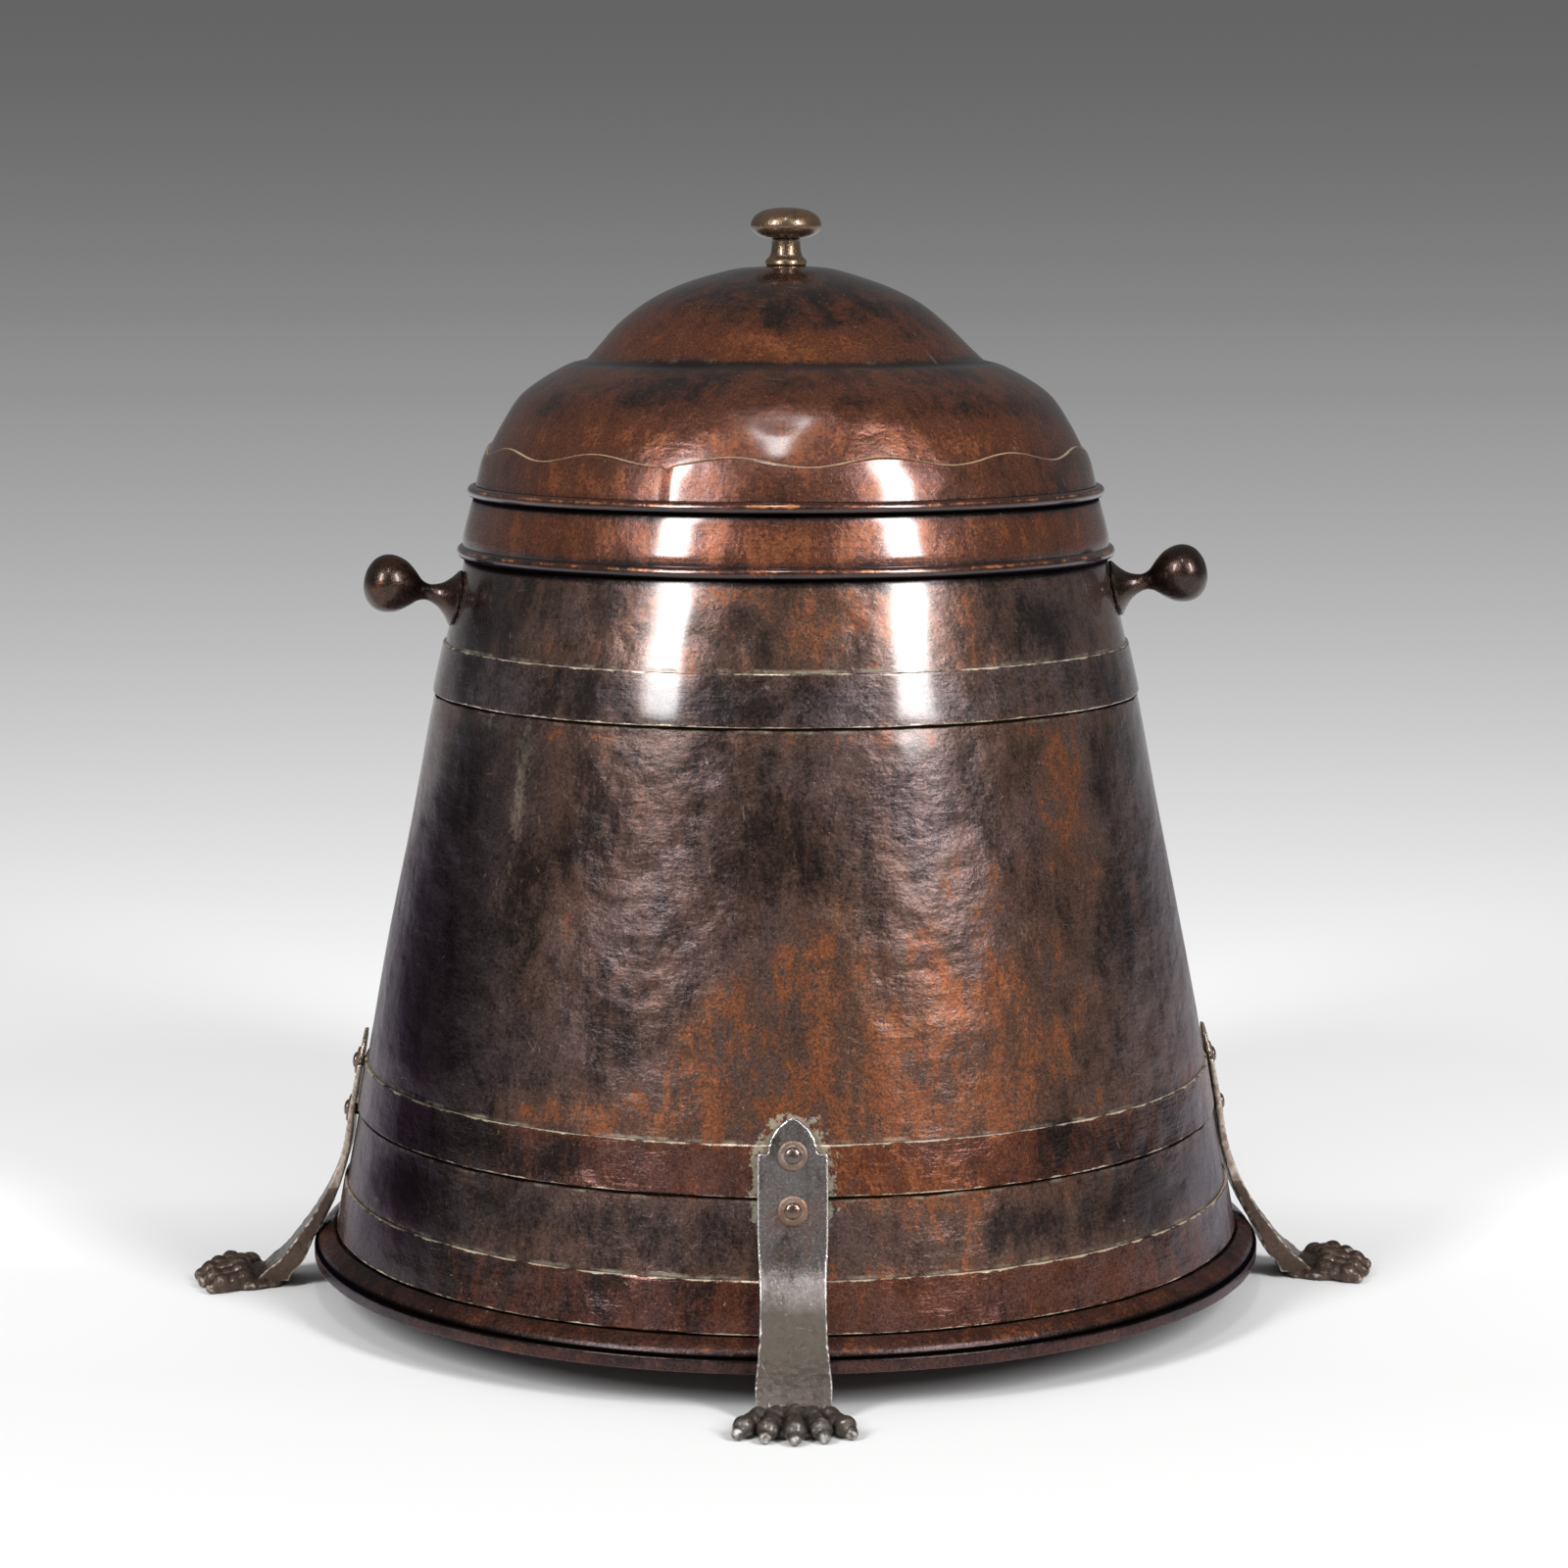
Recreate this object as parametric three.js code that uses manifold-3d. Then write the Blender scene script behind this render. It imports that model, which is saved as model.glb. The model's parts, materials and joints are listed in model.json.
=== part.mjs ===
// Lidded coal scuttle in raised and seamed copper: a beehive body on four cast lion's-paw
// feet, two ball handles, and a lift-off domed lid with a wavy-edged collar and a turned knob.
// Millimetres, +Z up. The origin is on the floor under the axis, and the front is -Y.

import * as THREE from 'three';
import { mergeVertices } from 'three/addons/utils/BufferGeometryUtils.js';
import Module from 'manifold-3d';

// ---------------------------------------------------------------- driving dimensions

const CLEARANCE = 16.5;      // the base ring's underside above the floor
const GAP = 0.3;             // air between pieces that seat on each other
const SHEET = 1.2;           // copper sheet of the body and the lid
const TRIM = 1.1;            // applied bands and the wavy collar
const FACETS = 36;           // round each large ring, a multiple of four
const FACET_TURN = Math.PI / FACETS;

// Outer face of the body wall: [height above the base, radius], a slight swell on a cone.
const WALL = [
  [6.9, 206.4], [50, 198.2], [130, 184], [200, 169.8], [262, 157.4], [318, 144.3], [339, 139.4],
];
const CURL = { radius: 136.3, height: 341.2, sheet: 3.0, bore: 1.8, wire: 1.5 };

const UPPER_BAND = [258.3, 280.2];
const LOWER_BAND = [69.2, 90.1];
const BOTTOM_BAND = [13.9, 35.4];
const BASE_RING = { inner: 204.5, outer: 216.4, height: 6.6 };
const PLATE = { radius: 204.1, floor: 9.5, flange: 3 };

// Lid: a raised crown that meets a lower shoulder in a crease.
const CROWN = [[3.4, 446.8], [24, 445], [44, 438.8], [60, 431], [72, 421.5], [85.5, 408.8]];
const SHOULDER = [[98, 402.8], [110, 396.4], [119.5, 389], [127, 377.8], [132, 368.5], [135.4, 360.5]];
const DOME_EDGE = [[138, 350], [138, 344.7]];
const WAVES = 13;
const WAVE_HEIGHT = 2;
const WAVE_TOP = 366.5;
const WAVE_PHASE = THREE.MathUtils.degToRad(-9.8);
const STEPS_PER_WAVE = 5;
const COLLAR_GAP = 0.45;      // leaves GAP where the flats of collar and dome cross

// Handles: [name, azimuth in degrees, height of the flange's centre above the base].
const HANDLES = [['left', 190, 300.3], ['right', -6, 303.9]];
const HANDLE_HOLE = 4.2;
const HANDLE_WASHER = { radius: 9, thickness: 1.5 };

// Feet: [name, azimuth in degrees, ankle]. The front and back ankles hug the base ring.
const FEET = [
  ['front', 270.8, 'tucked'],
  ['right', 2, 'splayed'],
  ['back', 90.8, 'tucked'],
  ['left', 182, 'splayed'],
];
const STRAP = { tip: 102.3, shoulder: 87.6, width: 29.2, leaf: 20.4, waist: 27.4, ankle: 31 };
const RIVET_HEIGHTS = { upper: 86.1, lower: 63.9 };
const RIVET = { shank: 2.6, head: 3.6, dome: 1.8, tail: 4 };
const RIVET_HOLE = 3;
const WASHER = { radius: 6.2, thickness: 1 };

// Front of a strap as [height above the base, radius]: on the wall, then down into the instep.
const STRAP_FACE = [[102.3, 192.6], [90, 194.9], [70, 198.9], [50, 202.4]];
const ANKLES = {
  splayed: [[38.5, 206], [28, 210.6], [17, 217.1], [6, 225.1], [-3, 232.4], [-8.6, 239.5], [-13, 243]],
  tucked: [[38.5, 206], [28, 210.4], [17, 216.6], [7, 221.9], [-3, 224.6], [-8.6, 227], [-13, 230.5]],
};
const INSTEPS = { splayed: 239.5, tucked: 227 };
// Level thickness of a strap by height: a thin leaf at the top, a stout ankle, a heavy heel.
const STRAP_THICKNESS = {
  splayed: [
    [102.3, 1.9], [87, 2.2], [60, 3], [38.5, 4], [28, 5.2], [17, 6.6], [6, 8.2], [-3, 11.5], [-13, 15],
  ],
  tucked: [
    [102.3, 1.9], [87, 2.2], [60, 3], [38.5, 4], [28, 5], [17, 5.6], [7, 5], [-3, 7.8], [-13, 12.5],
  ],
};
const TOES = [-38, -19, 0, 19, 38];
const TOE_PITCH = 0.21;

// ---------------------------------------------------------------- materials

const COPPER = { color: 0x6e4a3a, roughness: 0.42, metalness: 0.9 };
const BRIGHT_COPPER = { color: 0xa0684a, roughness: 0.3, metalness: 1 };
const BRONZE = { color: 0x6a625c, roughness: 0.45, metalness: 0.9 };
const DARK_BRONZE = { color: 0x4a3628, roughness: 0.35, metalness: 0.9 };
const KNOB_BRASS = { color: 0x7a5f42, roughness: 0.32, metalness: 1 };
const IRON = { color: 0x4c4846, roughness: 0.4, metalness: 0.9 };

// ---------------------------------------------------------------- tools

const wasm = await Module();
wasm.setup();

const radians = THREE.MathUtils.degToRad;

function weld(geometry) {
  geometry.deleteAttribute('normal');
  geometry.deleteAttribute('uv');
  const welded = mergeVertices(geometry, 1e-3);
  welded.computeVertexNormals();
  return welded;
}

function toManifold(geometry) {
  const welded = weld(geometry.clone());
  return new wasm.Manifold(new wasm.Mesh({
    numProp: 3,
    vertProperties: new Float32Array(welded.attributes.position.array),
    triVerts: new Uint32Array(welded.index.array),
  }));
}

function fromManifold(manifold) {
  const mesh = manifold.getMesh();
  const geometry = new THREE.BufferGeometry();
  geometry.setAttribute('position', new THREE.BufferAttribute(mesh.vertProperties, 3));
  geometry.setIndex(new THREE.BufferAttribute(mesh.triVerts, 1));
  geometry.computeVertexNormals();
  return geometry;
}

function piece(name, geometry, finish) {
  const mesh = new THREE.Mesh(geometry, new THREE.MeshStandardMaterial({ ...finish, flatShading: true }));
  mesh.name = name;
  return mesh;
}

// A solid turned about +Z from [radius, height] points, listed up the outside and down the
// inside. The outline closes on itself, or starts and ends on the axis.
function turned(points, facets = FACETS, start = FACET_TURN) {
  const outline = points.map(([radius, height]) => new THREE.Vector2(radius, height));
  if (points[0][0] > 0) {
    outline.push(outline[0].clone());
  }
  const lathe = new THREE.LatheGeometry(outline, facets, start);
  lathe.rotateX(Math.PI / 2);
  return weld(lathe);
}

function along(table, height) {
  const rows = [...table].sort((a, b) => a[0] - b[0]);
  const next = Math.min(Math.max(rows.findIndex((row) => row[0] >= height), 1), rows.length - 1);
  const [low, high] = [rows[next - 1], rows[next]];
  return low[1] + (high[1] - low[1]) * (height - low[0]) / (high[0] - low[0]);
}

const wallRadius = (height) => along(WALL, height);

function wallTilt(height) {
  return Math.atan((wallRadius(height - 1) - wallRadius(height + 1)) / 2);
}

// Stands a group on the wall at an azimuth and height, its +Z square out from the copper.
function onWall(group, azimuth, height) {
  const turn = new THREE.Group();
  turn.rotation.z = radians(azimuth);
  group.position.set(wallRadius(height), 0, height);
  group.rotation.y = Math.PI / 2 - wallTilt(height);
  turn.add(group);
  return turn;
}

// How far inside the wall's outer face a flat piece of this radius sits clear of the sheet,
// which is faceted and curves in towards the piece's edge.
function backSeat(pieceRadius, height) {
  const radius = wallRadius(height);
  return SHEET + radius * (1 - Math.cos(Math.PI / FACETS)) + pieceRadius ** 2 / (2 * radius) + GAP;
}

// A cylinder through the wall, for the hole that a rivet or a handle's tail passes.
function wallDrill(azimuth, height, radius) {
  const group = new THREE.Group();
  const turn = onWall(group, azimuth, height);
  turn.updateMatrixWorld(true);
  const drill = new THREE.CylinderGeometry(radius, radius, 12, 8);
  drill.rotateX(Math.PI / 2);
  drill.applyMatrix4(group.matrixWorld);
  return toManifold(drill);
}

function drilled(geometry, drills) {
  return fromManifold(drills.reduce((solid, drill) => solid.subtract(drill), toManifold(geometry)));
}

function rivetDrills(heights) {
  return FEET.flatMap(([, azimuth]) => heights.map((height) => wallDrill(azimuth, height, RIVET_HOLE)));
}

// ---------------------------------------------------------------- body

function arcPoints(centre, radius, from, to, steps) {
  return Array.from({ length: steps + 1 }, (_, i) => {
    const angle = radians(from + (to - from) * i / steps);
    return [centre[0] + radius * Math.cos(angle), centre[1] + radius * Math.sin(angle)];
  });
}

function bodyWall() {
  const centre = [CURL.radius, CURL.height];
  const outside = WALL.map(([height, radius]) => [radius, height]);
  const inside = [339, 262, 130, 6.9].map((height) => [wallRadius(height) - SHEET, height]);
  const curl = [...arcPoints(centre, CURL.sheet, 0, 210, 3), ...arcPoints(centre, CURL.bore, 210, 0, 3)];
  const wall = turned([...outside, ...curl, ...inside]);
  const handleDrills = HANDLES.map(([, azimuth, height]) => wallDrill(azimuth, height, HANDLE_HOLE));
  const drills = [...rivetDrills(Object.values(RIVET_HEIGHTS)), ...handleDrills];
  return piece('body_wall', drilled(wall, drills), COPPER);
}

function rimWire() {
  const section = arcPoints([CURL.radius, CURL.height], CURL.wire, 45, 315, 3);
  return piece('rim_wire', turned(section), BRIGHT_COPPER);
}

function wallBand([bottom, top]) {
  const low = wallRadius(bottom) + GAP;
  const high = wallRadius(top) + GAP;
  return turned([[low + TRIM, bottom], [high + TRIM, top], [high, top], [low, bottom]]);
}

function bands() {
  return [
    piece('upper_band', wallBand(UPPER_BAND), COPPER),
    piece('lower_band', drilled(wallBand(LOWER_BAND), rivetDrills([RIVET_HEIGHTS.upper])), COPPER),
    piece('bottom_band', wallBand(BOTTOM_BAND), COPPER),
  ];
}

function base() {
  const top = BASE_RING.height;
  const ring = [
    [BASE_RING.inner, 0], [BASE_RING.outer - 1.4, 0], [BASE_RING.outer, 1.5], [BASE_RING.outer, 4.4],
    [BASE_RING.outer - 1, top], [BASE_RING.inner, top],
  ];
  const collar = [
    [214.9, top + GAP], [213.6, 9.3], [207.8, 13.5], [206.4, 13.5],
    [206.4, 12.3], [212.2, 8.4], [213.3, top + GAP],
  ];
  const plate = [
    [0, PLATE.floor], [PLATE.radius - SHEET, PLATE.floor], [PLATE.radius - SHEET, PLATE.flange],
    [PLATE.radius, PLATE.flange], [PLATE.radius, PLATE.floor + SHEET], [0, PLATE.floor + SHEET],
  ];
  return [
    piece('base_ring', turned(ring), COPPER),
    piece('base_collar', turned(collar), COPPER),
    piece('bottom_plate', turned(plate), COPPER),
  ];
}

// ---------------------------------------------------------------- ball handles

function handle([side, azimuth, height]) {
  const washerFace = -backSeat(HANDLE_WASHER.radius, height);
  const washerBack = washerFace - HANDLE_WASHER.thickness;
  const peen = washerBack - GAP;
  const casting = turned([
    [0, peen - 2.4], [4.6, peen - 1.9], [5.8, peen - 0.7], [5.8, peen], [3.6, peen], [3.6, GAP],
    [12.4, GAP], [12.5, 1.5], [8.6, 5], [5.3, 8.6], [3.8, 12.2], [3.7, 14.2],
    [5, 17.6], [8.7, 21.6], [11.7, 26], [12.9, 31], [12.2, 35.8], [9.4, 39.5], [4.9, 41.7], [0, 42.3],
  ], 14);
  const bore = HANDLE_HOLE;
  const washer = turned([
    [bore, washerBack], [HANDLE_WASHER.radius, washerBack],
    [HANDLE_WASHER.radius, washerFace], [bore, washerFace],
  ], 12);
  const group = new THREE.Group();
  group.add(piece(`handle_${side}`, casting, DARK_BRONZE));
  group.add(piece(`handle_washer_${side}`, washer, BRIGHT_COPPER));
  return onWall(group, azimuth, height);
}

// ---------------------------------------------------------------- lion's-paw feet

// The side view of a strap, radius by height, extruded across its width.
function strapSide(ankle) {
  const front = [...STRAP_FACE, ...ANKLES[ankle]];
  const back = front.map(([height, radius]) => [height, radius - along(STRAP_THICKNESS[ankle], height)]);
  const outline = [...front, ...back.reverse()];
  const shape = new THREE.Shape(outline.map(([height, radius]) => new THREE.Vector2(radius, height)));
  const geometry = new THREE.ExtrudeGeometry(shape, { depth: 60, bevelEnabled: false });
  geometry.translate(0, 0, -30);
  geometry.rotateX(Math.PI / 2);
  return geometry;
}

// The front view of a strap: a pointed leaf on square shoulders, a waist and a wider ankle.
function strapFront() {
  const half = (width) => width / 2;
  const shape = new THREE.Shape();
  shape.moveTo(half(STRAP.ankle), -20);
  shape.lineTo(half(STRAP.ankle), 2);
  shape.quadraticCurveTo(half(STRAP.waist), 14, half(STRAP.waist), 32);
  shape.lineTo(half(STRAP.width), 56);
  shape.lineTo(half(STRAP.width), STRAP.shoulder);
  shape.lineTo(half(STRAP.leaf), STRAP.shoulder - 0.6);
  shape.quadraticCurveTo(half(STRAP.leaf) * 0.86, 96, 0, STRAP.tip);
  shape.quadraticCurveTo(-half(STRAP.leaf) * 0.86, 96, -half(STRAP.leaf), STRAP.shoulder - 0.6);
  shape.lineTo(-half(STRAP.width), STRAP.shoulder);
  shape.lineTo(-half(STRAP.width), 56);
  shape.lineTo(-half(STRAP.waist), 32);
  shape.quadraticCurveTo(-half(STRAP.waist), 14, -half(STRAP.ankle), 2);
  shape.lineTo(-half(STRAP.ankle), -20);
  const geometry = new THREE.ExtrudeGeometry(shape, { depth: 80, bevelEnabled: false, curveSegments: 3 });
  geometry.rotateX(Math.PI / 2);
  geometry.rotateZ(Math.PI / 2);
  geometry.translate(180, 0, 0);
  return geometry;
}

// A toe lying along +X: a fingered profile with a knuckle and a blunt tip, turned, pitched down
// and fanned out by an angle in degrees from a root beside the centre line.
function toe(degrees) {
  const reach = 1 - Math.abs(degrees) / 380;
  const profile = [[0, 3], [4.6, 6], [5.3, 11.5], [4.5, 17.5], [5.5, 23], [4.8, 28.4], [0, 32.3]];
  const outline = profile.map(([radius, length]) => new THREE.Vector2(radius, length * reach));
  const geometry = new THREE.LatheGeometry(outline, 7);
  geometry.rotateZ(-Math.PI / 2);
  geometry.rotateY(TOE_PITCH);
  geometry.translate(0, 0, 10 - Math.abs(degrees) / 20);
  geometry.rotateZ(radians(degrees));
  geometry.translate(0, degrees * 0.13, 0);
  return toManifold(geometry);
}

// A paw whose instep is at x = 0 and whose sole is at z = 0: a broad pad and five fanned toes,
// cut flat where they meet the floor.
function paw() {
  const pad = new THREE.SphereGeometry(1, 8, 6);
  pad.rotateX(Math.PI / 2);
  pad.scale(17.5, 19, 7.2);
  pad.translate(8.5, 0, 3.4);
  const floor = new THREE.BoxGeometry(120, 120, 40);
  floor.translate(0, 0, -20);
  const whole = TOES.reduce((solid, degrees) => solid.add(toe(degrees)), toManifold(pad));
  return whole.subtract(toManifold(floor));
}

function foot([name, azimuth, ankle], pawSolid) {
  const strap = toManifold(strapSide(ankle)).intersect(toManifold(strapFront()));
  const seated = pawSolid.translate([INSTEPS[ankle], 0, -CLEARANCE]);
  let solid = strap.add(seated);
  for (const height of Object.values(RIVET_HEIGHTS)) {
    solid = solid.subtract(wallDrill(0, height, RIVET_HOLE));
  }
  const mesh = piece(`foot_${name}`, fromManifold(solid), BRONZE);
  mesh.rotation.z = radians(azimuth);
  return mesh;
}

// ---------------------------------------------------------------- rivets and washers

function fastener(name, level, azimuth) {
  const height = RIVET_HEIGHTS[level];
  const out = (along(STRAP_FACE, height) - wallRadius(height)) * Math.cos(wallTilt(height)) + GAP;
  const seat = out + WASHER.thickness + GAP;
  const inside = -backSeat(RIVET.tail, height);
  const rivet = turned([
    [0, inside - 1.8], [RIVET.tail, inside - 1], [RIVET.tail, inside], [RIVET.shank, inside],
    [RIVET.shank, seat], [RIVET.head, seat],
    [RIVET.head * 0.8, seat + RIVET.dome * 0.7], [0, seat + RIVET.dome],
  ], 8);
  const washer = turned([
    [RIVET_HOLE, out], [WASHER.radius, out], [WASHER.radius - 0.5, seat - GAP], [RIVET_HOLE, seat - GAP],
  ], 10);
  const group = new THREE.Group();
  group.add(piece(`rivet_${name}_${level}`, rivet, IRON));
  group.add(piece(`washer_${name}_${level}`, washer, BRIGHT_COPPER));
  return onWall(group, azimuth, height);
}

// ---------------------------------------------------------------- lid

function lidDome() {
  const outside = [...DOME_EDGE].reverse().concat([...SHOULDER].reverse(), [...CROWN].reverse());
  const inside = [
    [3.4, 445.5], [23.8, 443.7], [59.2, 429.7], [84.8, 407.6], [109, 395.2], [125.8, 377.2],
    [134.2, 360.1], [136.8, 344.7],
  ];
  return piece('lid_dome', turned([...outside, ...inside]), COPPER);
}

// The collar's top edge rises and falls in thirteen waves, following the shoulder's slope.
function wavyCollar() {
  const skin = [...DOME_EDGE, ...SHOULDER].map(([radius, height]) => [height, radius]);
  const levels = [350.4, 360.5, WAVE_TOP];
  const bore = (height) => along(skin, height) + COLLAR_GAP;
  const outside = levels.map((height) => [bore(height) + TRIM, height]);
  const inside = levels.map((height) => [bore(height), height]).reverse();
  const geometry = turned([...outside, ...inside], WAVES * STEPS_PER_WAVE, 0);
  const position = geometry.attributes.position;
  for (let i = 0; i < position.count; i += 1) {
    const [x, y, z] = [position.getX(i), position.getY(i), position.getZ(i)];
    if (z > WAVE_TOP - 1) {
      const rise = WAVE_HEIGHT * Math.cos(WAVES * (Math.atan2(y, x) + Math.PI / 2 - WAVE_PHASE));
      const draw = (bore(WAVE_TOP + rise) - bore(WAVE_TOP)) / Math.hypot(x, y);
      position.setXYZ(i, x * (1 + draw), y * (1 + draw), z + rise);
    }
  }
  return piece('lid_wavy_collar', geometry, COPPER);
}

function lidSkirt() {
  const sleeve = 138.3;
  return piece('lid_skirt', turned([
    [145.2, 323.8], [142.2, 338], [140.7, 343.6], [sleeve + SHEET, 344.7], [sleeve + SHEET, 349.9],
    [sleeve, 349.9], [sleeve, 344.3], [141, 338], [144, 323.8],
  ]), COPPER);
}

// A half-round bead: flat inside, round outside.
function bead(name, inner, outer, bottom, top) {
  const round = (top - bottom) / 2;
  const arc = arcPoints([outer - round, bottom + round], round, -90, 90, 3);
  return piece(name, turned([[inner, bottom], ...arc, [inner, top]]), BRIGHT_COPPER);
}

function knob() {
  const casting = turned([
    [0, 440.2], [4.6, 440.7], [5.4, 441.7], [5.4, 442.5], [2.9, 442.5], [2.9, 447.4],
    [8.4, 447.4], [9.3, 448.3], [9.2, 449.8], [7.9, 450.8], [7, 453], [6.4, 456], [6.3, 458.6],
    [10.4, 459.6], [14.6, 461.9], [15.8, 465.1], [14.8, 468.6], [11, 471.3], [5.6, 472.6], [0, 472.9],
  ], 16);
  const washer = turned([[3.4, 442.8], [8, 442.8], [8, 444.6], [3.4, 444.6]], 16);
  return [piece('knob', casting, KNOB_BRASS), piece('knob_washer', washer, BRIGHT_COPPER)];
}

function lid() {
  const group = new THREE.Group();
  group.add(lidDome(), wavyCollar(), lidSkirt(), ...knob());
  group.add(bead('lid_bead', 139.8, 143, 344.9, 350.1));
  group.add(bead('lid_rim_bead', 144.8, 147.9, 318, 323.4));
  return group;
}

// ---------------------------------------------------------------- assembly

function build() {
  const scuttle = new THREE.Group();
  scuttle.name = 'coal_scuttle';
  scuttle.position.z = CLEARANCE;
  scuttle.add(bodyWall(), rimWire(), ...bands(), ...base());
  HANDLES.forEach((spec) => scuttle.add(handle(spec)));
  const pawSolid = paw();
  for (const spec of FEET) {
    scuttle.add(foot(spec, pawSolid));
    for (const level of Object.keys(RIVET_HEIGHTS)) {
      scuttle.add(fastener(spec[0], level, spec[1]));
    }
  }
  scuttle.add(lid());
  scuttle.updateMatrixWorld(true);
  return scuttle;
}

const group = build();

export default group;
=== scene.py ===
"""Looks for a lidded coal scuttle in old sheet copper on cast lion's-paw feet.

Lengths in the tables are millimetres and heights are above the base ring's underside, which
stands CLEARANCE above the floor. Azimuths are degrees from +X; the front is at 270.
"""

import json
import math

import bmesh
import bpy
import numpy as np
from mathutils import Matrix, Vector, noise


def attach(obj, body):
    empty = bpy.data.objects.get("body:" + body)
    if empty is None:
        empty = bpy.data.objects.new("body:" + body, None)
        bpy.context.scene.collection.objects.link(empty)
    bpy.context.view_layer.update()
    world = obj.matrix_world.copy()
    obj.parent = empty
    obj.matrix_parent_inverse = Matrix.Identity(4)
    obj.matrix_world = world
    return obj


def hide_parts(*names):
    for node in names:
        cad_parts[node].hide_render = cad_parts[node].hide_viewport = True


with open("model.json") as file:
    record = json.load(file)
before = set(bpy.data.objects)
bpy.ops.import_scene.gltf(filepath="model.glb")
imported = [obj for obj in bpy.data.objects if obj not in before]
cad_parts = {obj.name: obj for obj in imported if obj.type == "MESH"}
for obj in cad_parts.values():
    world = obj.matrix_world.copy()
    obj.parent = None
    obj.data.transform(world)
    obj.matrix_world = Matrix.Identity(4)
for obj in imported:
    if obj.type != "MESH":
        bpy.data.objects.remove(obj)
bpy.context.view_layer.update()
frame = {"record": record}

MM = 0.001
CLEARANCE = 16.5
FRONT = 270.0

# ------------------------------------------------------------------ camera, light and floor

CAMERA_BACK = 1.72
CAMERA_HEIGHT = 0.4651
CAMERA_PITCH = 7.787
LENS = 87.56
SENSOR = 36.0
SIDE_SHIFT = -0.0013

# name, azimuth from the front, elevation, distance, width, height, watts
SOFTBOXES = [
    ("left_softbox", -40.5, 29.0, 2.3, 0.42, 1.05, 42.0),
    ("right_softbox", 41.5, 28.0, 2.3, 0.42, 1.15, 49.0),
    ("front_softbox", -4.0, 57.0, 2.3, 0.18, 0.6, 6.0),
]
LAMP_AIM = Vector((0.0, 0.0, 0.26))
FILL = 0.44
FLOOR_RADIUS = 30.0
# distance behind the object's axis in metres, and how pale the floor is there; the tones deepen with distance
# as painted shade for the light falling off, and are darker towards the camera in front of the object
FLOOR_TONES = [
    (-0.5, 0.515), (-0.16, 0.68), (0.0, 0.755), (0.16, 0.98), (1.7, 0.98), (2.5, 0.955),
    (3.8, 0.895), (6.2, 0.795), (12.2, 0.655), (30.0, 0.55),
]


def make_camera():
    data = bpy.data.cameras.new("camera")
    data.lens = LENS
    data.sensor_width = SENSOR
    data.shift_x = SIDE_SHIFT
    data.clip_end = 100.0
    camera = bpy.data.objects.new("camera", data)
    camera.location = (0.0, -CAMERA_BACK, CAMERA_HEIGHT)
    camera.rotation_euler = (math.radians(90.0 - CAMERA_PITCH), 0.0, 0.0)
    bpy.context.scene.collection.objects.link(camera)
    bpy.context.scene.camera = camera


def make_softboxes():
    for name, turn, lift, distance, width, height, watts in SOFTBOXES:
        data = bpy.data.lights.new(name, "AREA")
        data.shape = "RECTANGLE"
        data.size = width
        data.size_y = height
        data.energy = watts
        lamp = bpy.data.objects.new(name, data)
        turn, lift = math.radians(turn), math.radians(lift)
        away = Vector((math.sin(turn) * math.cos(lift), -math.cos(turn) * math.cos(lift), math.sin(lift)))
        lamp.location = LAMP_AIM + away * distance
        lamp.rotation_euler = away.to_track_quat("Z", "Y").to_euler()
        bpy.context.scene.collection.objects.link(lamp)


# ------------------------------------------------------------------ node helpers

def feed(tree, node, values):
    """Link or set a node's sockets, given by name or number."""
    for key, value in values.items():
        if isinstance(value, bpy.types.NodeSocket):
            tree.links.new(value, node.inputs[key])
        else:
            node.inputs[key].default_value = value


def new_node(tree, kind, values=None, **settings):
    node = tree.nodes.new(kind)
    for name, value in settings.items():
        setattr(node, name, value)
    feed(tree, node, values or {})
    return node


def maths(tree, operation, *values, clamp=False):
    node = new_node(tree, "ShaderNodeMath", dict(enumerate(values)), operation=operation, use_clamp=clamp)
    return node.outputs[0]


def add(tree, first, second, clamp=False):
    return maths(tree, "ADD", first, second, clamp=clamp)


def times(tree, first, second, clamp=False):
    return maths(tree, "MULTIPLY", first, second, clamp=clamp)


def between(tree, value, low, high, start=0.0, end=1.0, kind="SMOOTHSTEP"):
    """start below low, end above high, and a smooth change between them."""
    values = {0: value, 1: low, 2: high, 3: start, 4: end}
    return new_node(tree, "ShaderNodeMapRange", values, interpolation_type=kind).outputs[0]


def mixed(tree, share, first, second, blend="MIX"):
    values = {0: share, 6: first, 7: second}
    return new_node(tree, "ShaderNodeMix", values, data_type="RGBA", blend_type=blend).outputs[2]


def noise_at(tree, place, scale, detail=4.0, rough=0.55, distortion=0.0):
    values = {"Vector": place, "Scale": scale, "Detail": detail, "Roughness": rough, "Distortion": distortion}
    return new_node(tree, "ShaderNodeTexNoise", values).outputs[0]


def mapped(tree, place, scale=(1, 1, 1), turn=(0, 0, 0), shift=(0, 0, 0)):
    values = {"Vector": place, "Scale": scale, "Rotation": turn, "Location": shift}
    return new_node(tree, "ShaderNodeMapping", values).outputs[0]


def attribute(tree, name):
    return new_node(tree, "ShaderNodeAttribute", attribute_name=name).outputs["Fac"]


def object_place(tree):
    return new_node(tree, "ShaderNodeTexCoord").outputs["Object"]


def part_of(tree, place, axis):
    return new_node(tree, "ShaderNodeSeparateXYZ", {0: place}).outputs["XYZ".index(axis)]


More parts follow.
